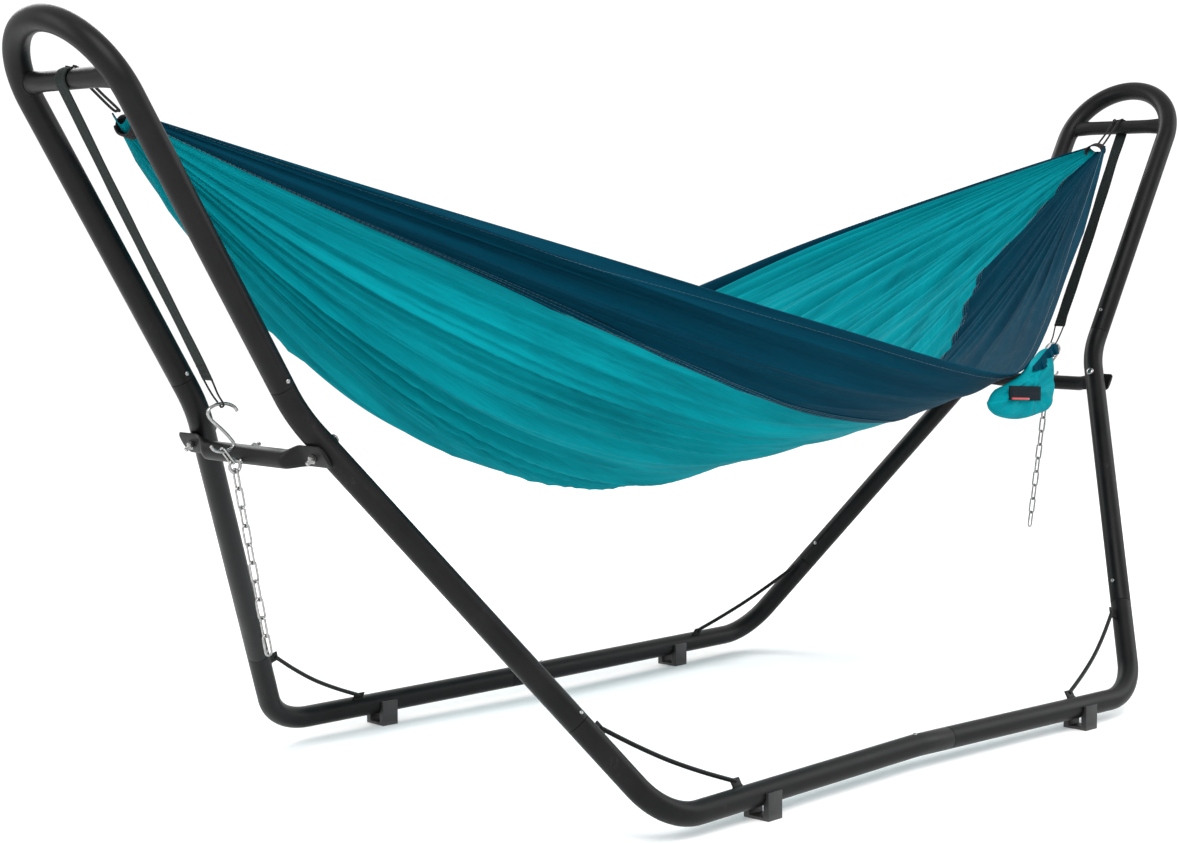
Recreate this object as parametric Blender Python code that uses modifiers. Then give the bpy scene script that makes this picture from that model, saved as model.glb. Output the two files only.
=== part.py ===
"""A family-size hammock on a bolted tube stand, modelled in metres with +Z up.

X runs along the stand, Y across it, and the origin is on the floor at the middle.
"""

import math

import bmesh
import bpy
from mathutils import Matrix, Vector

# Round tube
TUBE_R = 0.021
BORE_R = 0.0194
STUB_R = 0.0189
STUB_LENGTH = 0.070
BORE_LENGTH = 0.075
GAP = 0.0004
TUBE_SIDES = 6

# Corner points of the tube centre lines, as distances from the middle of the stand
RAIL_Z = 0.041
WAIST = Vector((1.128, 0.136, 0.664 + RAIL_Z))
BASE = Vector((0.690, 0.525, RAIL_Z))
RAIL_MID = Vector((0.0, 0.499, RAIL_Z + 0.0057))
LEAN = Vector((0.6, 0.0, 1.0)).normalized()
LOOP_RISE = 0.493
WAIST_BEND_R = 0.18
BASE_BEND_R = 0.13
BEND_STEPS = 6
LOOP_STEPS = 20

# Tube joints, as distances along the centre lines from those corner points
LOOP_JOINT = 0.055
LEG_JOINT = 0.219
RAIL_JOINT_X = 0.093
BUTTON_BACK = 0.047
NEAR_LINE_BACK = 0.012

# Snap buttons
BUTTON_R = 0.0040
BUTTON_HOLE_R = 0.0045
BUTTON_PROUD = 0.0026
BUTTON_DEPTH = 0.0085
BUTTON_POCKET = 0.0125

# Crossbars
BAR_R = 0.016
BAR_END_HEIGHT = 0.0205
BAR_END_HALF = 0.0032
BAR_FLAT = 0.062
BAR_PRESSED = 0.023
BAR_FLARE_FROM = 0.068
BAR_SECTION = 16
TOP_BAR_RISE = 0.5213
TOP_BAR_END = 0.124
WAIST_BAR_DOWN = 0.066
WAIST_BAR_PAST = 0.028

# Bolts and nuts
BOLT_R = 0.0040
BOLT_HOLE_R = 0.0046
BOLT_HEAD_R = 0.0085
BOLT_HEAD_H = 0.0055
BOLT_TIP = 0.010
NUT_R = 0.0078
NUT_H = 0.0065

# Eye bolt, hook and chain
EYE_R = 0.0105
EYE_WIRE_R = 0.0030
EYE_BEYOND = 0.014
EYE_TAIL = 0.008
HOOK_X = 1.176
HOOK_Z = 0.6815
HOOK_WIRE_R = 0.0028
HOOK_WIDEN = 1.3
LINK_WIRE_R = 0.0020
LINK_LONG = 0.0344
LINK_STEP = 0.0316
LINK_HALF_WIDTH = 0.0062
LINKS = 10
CHAIN_LEAN = math.radians(11.2)

# Strap, ropes and cord
STRAP_HALF = 0.015
STRAP_T = 0.0026
STRAP_WRAP = 118
STRAP_FOOT = Vector((1.2010, 0.0, 0.7600))
ROPE_R = 0.0022
CORD_R = 0.0016
CORD_CLEAR = 0.0028
GATHER = Vector((1.362, 0.0, 1.184))

# Fabric
PANEL_END_X = 1.343
PANEL_T = 0.004
RIM_HALF = 0.70
BELLY_Z = 0.520
BELLY_LOW_X = -0.29
BELLY_POWERS = {-1: 1.75, 1: 1.41}
BELLY_END_DROP = 0.012
SEAM_GAP = 0.0012
END_HALF = 0.014
MIDDLE_EASE = 0.05
PANEL_COLUMNS = 24

# The seams run at a share of the half width. The near one drifts inwards towards the right end.
NEAR_SEAM = -0.85
NEAR_SEAM_FROM_X = -1.0
NEAR_SEAM_DRIFT = 0.187
NEAR_SEAM_POWER = 1.83
FAR_SEAM = 0.89

# Each rim's height at the middle, the power its height rises by and the power its width falls by,
# for each end and side. The near rim is pulled tighter and so hangs higher than the far rim.
RIMS = {(-1, -1): (0.740, 1.09, 1.20), (1, -1): (0.740, 1.02, 1.08),
        (-1, 1): (0.655, 1.12, 1.95), (1, 1): (0.655, 1.12, 1.95)}

# Storage pouch: its outline along the stand and up, and where its back is
POUCH_OUTLINE = ((-0.056, 0.691), (-0.037, 0.674), (0.028, 0.659), (0.098, 0.664), (0.144, 0.679),
                 (0.149, 0.702), (0.142, 0.728), (0.110, 0.722), (0.060, 0.718), (0.010, 0.714), (-0.040, 0.708))
POUCH_BACK_Y = -0.6665
POUCH_DEPTH = 0.035

# Feet
FOOT_LENGTH = 0.037
FOOT_WIDTH = 0.054
FOOT_TOP = 0.049
FOOT_FLOOR = 0.005
FOOT_GAP_HALF = 0.0155
FOOT_FROM_CORNER = {
    "left_near": 0.246,
    "left_far": 0.262,
    "right_far": 0.262,
    "right_near": 0.176,
}

# Braces
BRACE_R = 0.0040
BRACE_ON_LEG = 0.184
BRACE_ON_RAIL = 0.192
BRACE_BOW = 0.010
TAB_HEIGHT = 0.017
TAB_LENGTH = 0.024
TAB_T = 0.0032

# Any direction that no bolt, bore or button points along
HINT = Vector((0.13, 0.21, 0.97))

ENDS = (("left", -1), ("right", 1))
SIDES = (("near", -1), ("far", 1))
CORNERS = [(f"{e}_{s}", ex, sy) for e, ex in ENDS for s, sy in SIDES]

MATERIALS = {
    "black_tube": ((0.012, 0.012, 0.013), 0.42, 0.0),
    "zinc": ((0.62, 0.62, 0.60), 0.32, 1.0),
    "black_plastic": ((0.014, 0.014, 0.015), 0.5, 0.0),
    "webbing": ((0.010, 0.018, 0.016), 0.85, 0.0),
    "black_cord": ((0.008, 0.008, 0.009), 0.8, 0.0),
    "cyan_nylon": ((0.0, 0.29, 0.36), 0.5, 0.0),
    "navy_nylon": ((0.0, 0.045, 0.085), 0.5, 0.0),
}


def clear_scene():
    for obj in list(bpy.data.objects):
        bpy.data.objects.remove(obj, do_unlink=True)


def new_collection(name):
    collection = bpy.data.collections.new(name)
    bpy.context.scene.collection.children.link(collection)
    return collection


def material(name):
    found = bpy.data.materials.get(name)
    if found:
        return found
    colour, roughness, metallic = MATERIALS[name]
    made = bpy.data.materials.new(name)
    made.use_nodes = True
    shader = made.node_tree.nodes["Principled BSDF"]
    shader.inputs["Base Color"].default_value = (*colour, 1.0)
    shader.inputs["Roughness"].default_value = roughness
    shader.inputs["Metallic"].default_value = metallic
    return made


def put(obj, finish=None):
    """A part when it has a finish, else a cutter."""
    if finish is None:
        cutters.objects.link(obj)
        obj.hide_render = True
        obj.display_type = "WIRE"
    else:
        parts.objects.link(obj)
        obj.data.materials.append(material(finish))
    return obj


def at(point, end=1, side=1):
    """The mirror image of a point on the chosen end and side of the stand."""
    return Vector((point[0] * end, point[1] * side, point[2]))


def filleted(corners, radius, steps=BEND_STEPS):
    """A path of straight runs whose inner corners are arcs of one radius."""
    path = [corners[0].copy()]
    for before, corner, after in zip(corners, corners[1:], corners[2:]):
        back = (before - corner).normalized()
        on = (after - corner).normalized()
        half = back.angle(on) / 2
        centre = corner + (back + on).normalized() * (radius / math.sin(half))
        first = corner + back * (radius / math.tan(half)) - centre
        axis = back.cross(on).normalized()
        sweep = -(math.pi - 2 * half)
        for i in range(steps + 1):
            path.append(centre + Matrix.Rotation(sweep * i / steps, 3, axis) @ first)
    path.append(corners[-1].copy())
    return path


def smooth(points, per_span=3, closed=False):
    """A Catmull-Rom curve through the points."""
    count = len(points)
    path = []
    spans = count if closed else count - 1
    for i in range(spans):
        if closed:
            a, b, c, d = (points[(i + k - 1) % count] for k in range(4))
        else:
            a, b, c, d = (points[min(max(i + k - 1, 0), count - 1)] for k in range(4))
        for step in range(per_span):
            t = step / per_span
            path.append(
                0.5
                * (
                    2 * b
                    + (c - a) * t
                    + (2 * a - 5 * b + 4 * c - d) * t * t
                    + (3 * b - a - 3 * c + d) * t**3
                )
            )
    if not closed:
        path.append(points[-1].copy())
    return path


def swept(name, path, radius, sides, closed=False, radii=None):
    """A mesh tube along a path; radii gives each point its own radius."""
    curve = bpy.data.curves.new(name, "CURVE")
    curve.dimensions = "3D"
    curve.bevel_depth = radius
    curve.bevel_resolution = sides
    curve.use_fill_caps = not closed
    spline = curve.splines.new("POLY")
    spline.points.add(len(path) - 1)
    for i, point in enumerate(path):
        spline.points[i].co = (*point, 1.0)
        spline.points[i].radius = radii[i] / radius if radii else 1.0
    spline.use_cyclic_u = closed
    carrier = bpy.data.objects.new(name + "_route", curve)
    bpy.context.scene.collection.objects.link(carrier)
    graph = bpy.context.evaluated_depsgraph_get()
    mesh = bpy.data.meshes.new_from_object(carrier.evaluated_get(graph))
    bpy.data.objects.remove(carrier, do_unlink=True)
    work = bmesh.new()
    work.from_mesh(mesh)
    bmesh.ops.remove_doubles(work, verts=work.verts, dist=0.00002)
    bmesh.ops.recalc_face_normals(work, faces=work.faces)
    work.to_mesh(mesh)
    work.free()
    mesh.name = name
    mesh.materials.clear()
    mesh.shade_smooth()
    mesh.set_sharp_from_angle(angle=math.radians(40))
    return bpy.data.objects.new(name, mesh)


def frame_along(axis, up=Vector((0, 0, 1))):
    """Rotation whose local Z is the axis and whose local X is as near up as it can be."""
    z = axis.normalized()
    x = (up - z * up.dot(z)).normalized()
    return Matrix((x, z.cross(x), z)).transposed()


def primitive(name, make, centre, turn=Matrix.Identity(3)):
    """An object from a bmesh primitive placed by its location and rotation."""
    work = bmesh.new()
    make(work)
    bmesh.ops.recalc_face_normals(work, faces=work.faces)
    mesh = bpy.data.meshes.new(name)
    work.to_mesh(mesh)
    work.free()
    mesh.shade_smooth()
    mesh.set_sharp_from_angle(angle=math.radians(35))
    obj = bpy.data.objects.new(name, mesh)
    obj.matrix_world = Matrix.Translation(centre) @ turn.to_4x4()
    return obj


def rod(name, start, end, radius, segments=16):
    def make(work):
        bmesh.ops.create_cone(
            work,
            cap_ends=True,
            segments=segments,
            radius1=radius,
            radius2=radius,
            depth=(end - start).length,
        )

    return primitive(name, make, (start + end) / 2, frame_along(end - start, HINT))


def box(name, centre, size, turn=Matrix.Identity(3)):
    def make(work):
        bmesh.ops.create_cube(work, size=1.0)
        bmesh.ops.scale(work, vec=Vector(size), verts=work.verts)

    return primitive(name, make, centre, turn)


def turned(name, profile, centre, axis, segments=16):
    """A solid of revolution: profile pairs are radius and height along the axis."""

    def make(work):
        rings = []
        for radius, height in profile:
            if radius == 0:
                rings.append([work.verts.new((0, 0, height))])
                continue
            angles = [2 * math.pi * i / segments for i in range(segments)]
            ring = [(radius * math.cos(a), radius * math.sin(a), height) for a in angles]
            rings.append([work.verts.new(point) for point in ring])
        for low, high in zip(rings, rings[1:]):
            for i in range(segments):
                j = (i + 1) % segments
                quad = [low[i % len(low)], low[j % len(low)], high[j % len(high)], high[i % len(high)]]
                work.faces.new(list(dict.fromkeys(quad)))

    return primitive(name, make, centre, frame_along(axis, HINT))


def boolean(obj, other, operation="DIFFERENCE"):
    modifier = obj.modifiers.new(operation.title(), "BOOLEAN")
    modifier.operation = operation
    modifier.object = put(other)
    return obj


def drill(obj, name, spot, axis):
    """The hole for a bolt, right through the piece."""
    boolean(obj, rod(name, spot - axis * 0.06, spot + axis * 0.06, BOLT_HOLE_R))


def leg_axis(end, side):
    return (at(BASE, end, side) - at(WAIST, end, side)).normalized()


def rail_axis(end, side):
    return (at(RAIL_MID, end, side) - at(BASE, end, side)).normalized()


def inner_face(end):
    """The direction from a leaning loop leg towards the middle of the stand."""
    return Vector((-end * LEAN.z, 0, LEAN.x))


def outer_face(end):
    """The direction square to the sloping legs, away from the middle of the stand."""
    slope = WAIST - BASE
    return Vector((end * slope.z, 0, -slope.x)).normalized()


def square_to(direction, axis):
    return (direction - axis * direction.dot(axis)).normalized()


def bore(name, mouth, inward):
    """The cutter for the bore that a tube's open end has."""
    return rod(name, mouth - inward * 0.01, mouth + inward * BORE_LENGTH, BORE_R, 20)


def stub_tube(name, path, stub_ends):
    """A tube whose swaged ends, listed as first or last, slide into the next tube."""
    radii = [TUBE_R] * len(path)
    for which in stub_ends:
        if which == "first":
            inward = (path[1] - path[0]).normalized()
            path = [path[0] - inward * STUB_LENGTH, path[0], path[0] + inward * 0.001] + path[1:]
            radii = [STUB_R, STUB_R, TUBE_R] + radii[1:]
        else:
            inward = (path[-2] - path[-1]).normalized()
            path = path[:-1] + [path[-1] + inward * 0.001, path[-1], path[-1] - inward * STUB_LENGTH]
            radii = radii[:-1] + [TUBE_R, STUB_R, STUB_R]
    return swept(name, path, TUBE_R, TUBE_SIDES, radii=radii)


def loop_joint_point(end, side):
    direction = at(LEAN, end, 1)
    return at(WAIST, end, side) + direction * LOOP_JOINT


def leg_joint_point(end, side):
    return at(BASE, end, side) - leg_axis(end, side) * LEG_JOINT


def button_sites():
    """Each snap button's name, its place on the tube axis, its outward direction and its hosts."""
    sites = []
    for corner, end, side in CORNERS:
        up = at(LEAN, end, 1)
        if end < 0:
            back, facing = NEAR_LINE_BACK, Vector((0.1, -1, 0))
        else:
            back, facing = BUTTON_BACK, inner_face(end)
        place = loop_joint_point(end, side) + up * back
        hosts = (f"{'left' if end < 0 else 'right'}_end_loop", f"{corner}_elbow_leg")
        sites.append((f"{corner}_upper_button", place, square_to(facing, up), hosts))
        down = leg_axis(end, side)
        place = leg_joint_point(end, side) - down * back
        facing = Vector((0.3, -1, 0.3)) if end < 0 else Vector((-end, 0, 0.2))
        hosts = (f"{corner}_elbow_leg", f"{corner}_base_corner")
        sites.append((f"{corner}_lower_button", place, square_to(facing, down), hosts))
    for side_name, side in SIDES:
        sleeve_end = side
        place = at(RAIL_MID, 1, side)
        place.z -= 0.0002
        along = rail_axis(sleeve_end, side)
        hosts = (
            f"{'left' if sleeve_end < 0 else 'right'}_{side_name}_base_corner",
            f"{'right' if sleeve_end < 0 else 'left'}_{side_name}_base_corner",
        )
        sites.append((f"{side_name}_rail_button", place, square_to(Vector((0, 0, 1)), along), hosts))
    return sites


def make_end_loop(end_name, end):
    lean = at(LEAN, end, 1)
    top = at(Vector((WAIST.x, 0, WAIST.z)), end) + lean * (LOOP_RISE / LEAN.z)
    path = [loop_joint_point(end, -1)]
    for i in range(LOOP_STEPS + 1):
        turn = math.pi * i / LOOP_STEPS
        across = Vector((0, -WAIST.y * math.cos(turn), 0))
        path.append(top + across + lean * (WAIST.y * math.sin(turn)))
    path.append(loop_joint_point(end, 1))
    loop = swept(f"{end_name}_end_loop", path, TUBE_R, TUBE_SIDES)
    put(loop, "black_tube")
    for side_name, side in SIDES:
        cutter = bore(f"{end_name}_{side_name}_loop_bore", loop_joint_point(end, side), lean)
        boolean(loop, cutter)
    return loop


def bar_mesh(name, centre, stations, axes):
    """A round bar along Y whose ends are pressed flat: a loft between unlike sections.

    Each station is a place along Y, a half thickness, a half height and a shift of the centre.
    """
    thick, tall = axes

    def make(work):
        rings = []
        for y, half_thick, half_tall, shift in stations:
            ring = []
            for i in range(BAR_SECTION):
                angle = 2 * math.pi * i / BAR_SECTION
                offset = thick * (half_thick * math.cos(angle) + shift) + tall * (
                    half_tall * math.sin(angle)
                )
                ring.append(work.verts.new(offset + Vector((0, y, 0))))
            rings.append(ring)
        for one, two in zip(rings, rings[1:]):
            for i in range(BAR_SECTION):
                j = (i + 1) % BAR_SECTION
                work.faces.new((one[i], one[j], two[j], two[i]))
        work.faces.new(rings[0])
        work.faces.new(rings[-1])

    return primitive(name, make, centre)


def make_top_crossbar(end_name, end):
    lean = at(LEAN, end, 1)
    centre = at(Vector((WAIST.x, 0, WAIST.z)), end) + lean * (TOP_BAR_RISE / LEAN.z)
    stations = []
    for i in range(8):
        share = (0, 1 / 3, 2 / 3, 1)[i - 4 if i > 3 else 3 - i]
        y = math.copysign(BAR_FLARE_FROM + (TOP_BAR_END - BAR_FLARE_FROM) * share, i - 3.5)
        flare = share
        tall = BAR_R + (BAR_END_HEIGHT - BAR_R) * flare
        stations.append((y, BAR_R - 0.003 * flare, tall, 0.0))
    bar = bar_mesh(f"{end_name}_top_crossbar", centre, stations, (inner_face(end), lean))
    put(bar, "black_tube")
    saddle_path = []
    top = at(Vector((WAIST.x, 0, WAIST.z)), end) + lean * (LOOP_RISE / LEAN.z)
    for i in range(LOOP_STEPS + 1):
        turn = math.pi * i / LOOP_STEPS
        across = Vector((0, -WAIST.y * math.cos(turn), 0))
        saddle_path.append(top + across + lean * (WAIST.y * math.sin(turn)))
    drop = lean * 0.12
    saddle_path = [saddle_path[0] - drop] + saddle_path + [saddle_path[-1] - drop]
    saddle = swept(f"{end_name}_saddle", saddle_path, TUBE_R + GAP, TUBE_SIDES)
    boolean(bar, saddle)
    return bar


def waist_leg_point(end, side):
    """Where the waist crossbar passes a leg, on the leg's axis."""
    return at(WAIST, end, side) + leg_axis(end, side) * WAIST_BAR_DOWN


def make_waist_crossbar(end_name, end):
    out = outer_face(end)
    leg = waist_leg_point(end, 1)
    centre = Vector((leg.x, 0, leg.z))
    tall = Vector((-out.z, 0, out.x))
    last = leg.y + WAIST_BAR_PAST
    flat = TUBE_R + GAP
    stations = []
    half_stations = (leg.y - BAR_FLAT, leg.y - BAR_PRESSED, leg.y, last)
    for y in [-value for value in half_stations[::-1]] + list(half_stations):
        round_share = min(1.0, max(0.0, (leg.y - BAR_PRESSED - abs(y)) / (BAR_FLAT - BAR_PRESSED)))
        thin = BAR_END_HALF + (BAR_R - BAR_END_HALF) * round_share
        high = BAR_END_HEIGHT + 0.001 + (BAR_R - BAR_END_HEIGHT - 0.001) * round_share
        stations.append((y, thin, high, flat + thin))
    bar = bar_mesh(f"{end_name}_waist_crossbar", centre, stations, (out, tall))
    put(bar, "black_tube")
    for side_name, side in SIDES:
        spot = waist_leg_point(end, side)
        drill(bar, f"{end_name}_{side_name}_bar_hole", spot, out)
    eye_hole = rod(f"{end_name}_eye_hole", centre - out * 0.02, centre + out * 0.08, BOLT_HOLE_R)
    boolean(bar, eye_hole)
    return bar


def make_elbow_leg(corner, end, side):
    start = loop_joint_point(end, side)
    finish = leg_joint_point(end, side)
    path = filleted([start, at(WAIST, end, side), finish], WAIST_BEND_R)
    leg = stub_tube(f"{corner}_elbow_leg", path, ["first"])
    put(leg, "black_tube")
    boolean(leg, bore(f"{corner}_leg_bore", finish, -leg_axis(end, side)))
    out = outer_face(end)
    spot = waist_leg_point(end, side)
    drill(leg, f"{corner}_leg_hole", spot, out)
    return leg


def make_base_corner(corner, end, side):
    start = leg_joint_point(end, side)
    middle = at(RAIL_MID, 1, side)
    is_sleeve = end == side
    along = rail_axis(end, side)
    other = rail_axis(-end, side)
    # The sleeve half runs past the middle along the other half's line, so the pair stays in line there.
    joint = middle - other * RAIL_JOINT_X
    path = filleted([start, at(BASE, end, side), middle], BASE_BEND_R)
    if is_sleeve:
        path = path + [joint]
        tube = stub_tube(f"{corner}_base_corner", path, ["first"])
        put(tube, "black_tube")
        cutter = rod(f"{corner}_rail_bore", joint - other * 0.01, middle - other * 0.006, BORE_R, 20)
        boolean(tube, cutter)
    else:
        meet = middle - along * RAIL_JOINT_X
        path = path[:-1] + [meet]
        tube = stub_tube(f"{corner}_base_corner", path, ["first", "last"])
        put(tube, "black_tube")
    return tube


def make_button(name, place, facing):
    """A domed pin that stands through the sleeve and sinks when pressed."""
    top = TUBE_R + BUTTON_PROUD
    bottom = TUBE_R - BUTTON_DEPTH
    profile = [(0, bottom), (BUTTON_R, bottom), (BUTTON_R, top - 0.0015)]
    profile += [(BUTTON_R * 0.8, top - 0.0005), (BUTTON_R * 0.4, top), (0, top)]
    return put(turned(name, profile, place, facing, 12), "zinc")


def cut_button_holes(place, facing, hosts, name):
    for i, host in enumerate(hosts):
        bottom = place + facing * (TUBE_R - BUTTON_POCKET)
        hole = rod(f"{name}_hole_{i}", bottom, place + facing * 0.03, BUTTON_HOLE_R, 14)
        boolean(bpy.data.objects[host], hole)


def make_bolt(corner, end, side):
    out = outer_face(end)
    spot = waist_leg_point(end, side)
    seat = -(TUBE_R + GAP)
    tip = TUBE_R + GAP + 2 * BAR_END_HALF + GAP + NUT_H + BOLT_TIP
    profile = [(0, seat - BOLT_HEAD_H), (BOLT_HEAD_R * 0.5, seat - BOLT_HEAD_H * 0.93)]
    profile += [(BOLT_HEAD_R * 0.85, seat - BOLT_HEAD_H * 0.6), (BOLT_HEAD_R, seat - 0.0012)]
    profile += [(BOLT_HEAD_R, seat), (BOLT_R, seat), (BOLT_R, tip - 0.001)]
    profile += [(BOLT_R * 0.7, tip), (0, tip)]
    put(turned(f"{corner}_waist_bolt", profile, spot, out), "zinc")


def make_nut(name, centre, axis, hole_r):
    """A hex nut with a clear bore; the centre is its near face."""
    nut = turned(name, [(0, 0), (NUT_R, 0), (NUT_R, NUT_H), (0, NUT_H)], centre, axis, 6)
    put(nut, "zinc")
    boolean(nut, rod(name + "_bore", centre - axis * 0.01, centre + axis * 0.02, hole_r))
    return nut


def waist_bar_centre(end):
    leg = waist_leg_point(end, 1)
    return Vector((leg.x, 0, leg.z)) + outer_face(end) * (TUBE_R + GAP + BAR_R)


def make_eye_bolt(end_name, end):
    out = outer_face(end)
    bar = waist_bar_centre(end)
    middle = eye_centre(end)
    ring_path = []
    up = out.cross(Vector((0, 1, 0)))
    for i in range(14):
        angle = 2 * math.pi * i / 14
        ring_path.append(middle + (out * math.cos(angle) + up * math.sin(angle)) * EYE_R)
    eye = swept(f"{end_name}_eye_bolt", ring_path, EYE_WIRE_R, 2, closed=True)
    put(eye, "zinc")
    tail = bar - out * (BAR_R + NUT_H + EYE_TAIL)
    shank = rod(f"{end_name}_eye_shank", tail, middle - out * (EYE_R - 0.001), BOLT_R)
    boolean(eye, shank, "UNION")
    make_nut(f"{end_name}_eye_nut", bar - out * (BAR_R + GAP), -out, BOLT_HOLE_R)


def eye_centre(end):
    return waist_bar_centre(end) + outer_face(end) * (BAR_R + EYE_BEYOND)


def make_hook(end_name, end):
    centre = at(Vector((HOOK_X, 0, HOOK_Z)), end)
    # Towards the middle of the stand and up from the middle of the wire, in millimetres.
    outline = [(24, 25), (19, 33), (8, 38.5), (-6, 38.5), (-17, 33), (-20, 24), (-14, 13)]
    outline += [(0, -2), (12, -17), (18, -28), (12, -36), (1, -38.5), (-11, -35), (-17, -27)]
    points = [centre + Vector((-end * h * HOOK_WIDEN / 1000, 0, v / 1000)) for h, v in outline]
    put(swept(f"{end_name}_hook", smooth(points, 2), HOOK_WIRE_R, 2), "zinc")


def link_path(first, last, across):
    """The oval centre line of one chain link between the middles of its two end wires."""
    centre = (first + last) / 2
    along = (last - first).normalized()
    half = (last - first).length / 2 - LINK_HALF_WIDTH
    path = []
    for sign in (1, -1):
        for i in range(5):
            angle = math.pi * i / 4
            swing = across * math.cos(angle) + along * math.sin(angle)
            path.append(centre + (along * half + swing * LINK_HALF_WIDTH) * sign)
    return path


def chain_pivot(end):
    """The middle of the top link's upper wire, which rests on the bottom of the eye."""
    return eye_centre(end) - Vector((0, 0, EYE_R - EYE_WIRE_R - LINK_WIRE_R - GAP))


def make_chain(end_name, end):
    along = Vector((-end * math.sin(CHAIN_LEAN), 0, -math.cos(CHAIN_LEAN)))
    flat = Vector((0, 1, 0))
    edge = along.cross(flat)
    groups = ([], [])
    for i in range(LINKS):
        first = chain_pivot(end) + along * LINK_STEP * i
        path = link_path(first, first + along * LINK_LONG, edge if i % 2 else flat)
        groups[i % 2].append(swept(f"{end_name}_link_{i}", path, LINK_WIRE_R, 1, closed=True))
    solids = []
    for name, group in zip((f"{end_name}_chain_tail", f"{end_name}_other_links"), groups):
        work = bmesh.new()
        for link in group:
            work.from_mesh(link.data)
            bpy.data.objects.remove(link, do_unlink=True)
        mesh = bpy.data.meshes.new(name)
        work.to_mesh(mesh)
        work.free()
        solids.append(bpy.data.objects.new(name, mesh))
    put(solids[0], "zinc")
    boolean(solids[0], solids[1], "UNION")


def make_anchor_link(end_name, end):
    """The link between the eye and the hook's lower bow, which takes the hammock's pull."""
    clear = HOOK_WIRE_R + LINK_WIRE_R + GAP
    upper = at(Vector((HOOK_X, 0, HOOK_Z - 0.0385 + clear)), end)
    eye = eye_centre(end)
    pull = (upper - eye).normalized()
    lower = eye + pull * (EYE_R - EYE_WIRE_R - LINK_WIRE_R - GAP)
    path = link_path(lower, upper, Vector((0, 1, 0)))
    put(swept(f"{end_name}_anchor_link", path, LINK_WIRE_R, 1, closed=True), "zinc")


def strap_path(end):
    """The strap's middle line, from its foot up and over the top crossbar."""
    lean = at(LEAN, end, 1)
    centre = at(Vector((WAIST.x, 0, WAIST.z)), end) + lean * (TOP_BAR_RISE / LEAN.z)
    away = -inner_face(end)
    radius = BAR_R + GAP + STRAP_T / 2
    foot = at(STRAP_FOOT, end)
    path = [foot, foot.lerp(centre + away * radius, 0.5)]
    for i in range(9):
        angle = math.radians(-4 + (STRAP_WRAP + 4) * i / 8)
        path.append(centre + (away * math.cos(angle) + lean * math.sin(angle)) * radius)
    return path


def make_strap(end_name, end):
    path = strap_path(end)
    work = bmesh.new()
    rows = [[work.verts.new(p + Vector((0, y, 0))) for y in (-STRAP_HALF, 0, STRAP_HALF)] for p in path]
    for one, two in zip(rows, rows[1:]):
        for j in range(2):
            work.faces.new((one[j], one[j + 1], two[j + 1], two[j]))
    mesh = bpy.data.meshes.new(f"{end_name}_strap")
    work.to_mesh(mesh)
    work.free()
    strap = put(bpy.data.objects.new(f"{end_name}_strap", mesh), "webbing")
    solid = strap.modifiers.new("Thickness", "SOLIDIFY")
    solid.thickness = STRAP_T
    solid.offset = 0


def make_cord_loop(end_name, end):
    """The cord that leaves the strap's foot and holds the hook's upper bow."""
    foot = at(STRAP_FOOT, end)
    down = (strap_path(end)[0] - strap_path(end)[1]).normalized()
    start = foot + down * CORD_CLEAR
    low = at(Vector((HOOK_X, 0, HOOK_Z + 0.0385 - HOOK_WIRE_R - CORD_R - 0.0006)), end)
    points = [start + Vector((0, -0.011, 0)), start.lerp(low, 0.5) + Vector((0, -0.0085, 0))]
    points += [low + Vector((0, -0.0065, 0.005)), low, low + Vector((0, 0.0065, 0.005))]
    points += [start.lerp(low, 0.5) + Vector((0, 0.0085, 0)), start + Vector((0, 0.011, 0))]
    put(swept(f"{end_name}_cord_loop", smooth(points, 3), CORD_R, 1), "black_cord")


def make_rope(end_name, end):
    """Two strands from the strap over the crossbar to the gathered end of the fabric."""
    lean = at(LEAN, end, 1)
    centre = at(Vector((WAIST.x, 0, WAIST.z)), end) + lean * (TOP_BAR_RISE / LEAN.z)
    away = -inner_face(end)
    radius = BAR_R + 2 * GAP + ROPE_R
    low = at(GATHER, end)
    strand = []
    for i in range(4):
        angle = math.radians(STRAP_WRAP + 11 + 12 * i)
        strand.append(centre + (away * math.cos(angle) + lean * math.sin(angle)) * radius)
    strand.append(strand[-1].lerp(low, 0.5))
    strand = [p + Vector((0, 0.010 - 0.0007 * i, 0)) for i, p in enumerate(strand)]
    turn = low + (low - centre).normalized() * 0.003
    mirrored = [Vector((p.x, -p.y, p.z)) for p in strand]
    points = mirrored + [low + Vector((0, -0.006, 0)), turn, low + Vector((0, 0.006, 0))] + strand[::-1]
    put(swept(f"{end_name}_rope", smooth(points, 2), ROPE_R, 2), "black_cord")


def share_of(x):
    """How far along the fabric x is from the middle to the gathered end, eased at the middle."""
    full = math.hypot(GATHER.x, MIDDLE_EASE) - MIDDLE_EASE
    return (math.hypot(x, MIDDLE_EASE) - MIDDLE_EASE) / full


def end_of(x):
    return -1 if x < 0 else 1


def rim_half_width(x, side):
    return END_HALF + (RIM_HALF - END_HALF) * (1 - share_of(x) ** RIMS[end_of(x), side][2])


def rim_height(x, side):
    middle_z, power, _ = RIMS[end_of(x), side]
    return middle_z + (GATHER.z - middle_z) * share_of(x) ** power


def belly_height(x):
    """The height of the lowest line, which is deepest a little left of the middle."""
    end = end_of(x - BELLY_LOW_X)
    reach = abs(x - BELLY_LOW_X) / (GATHER.x - end * BELLY_LOW_X)
    return BELLY_Z + (GATHER.z - BELLY_END_DROP - BELLY_Z) * reach ** BELLY_POWERS[end]


def fabric_point(x, across):
    """The fabric at a share of its half width, negative on the near side."""
    side = end_of(across)
    rise = (rim_height(x, side) - belly_height(x)) * across**2
    return Vector((x, across * rim_half_width(x, side), belly_height(x) + rise))


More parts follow.
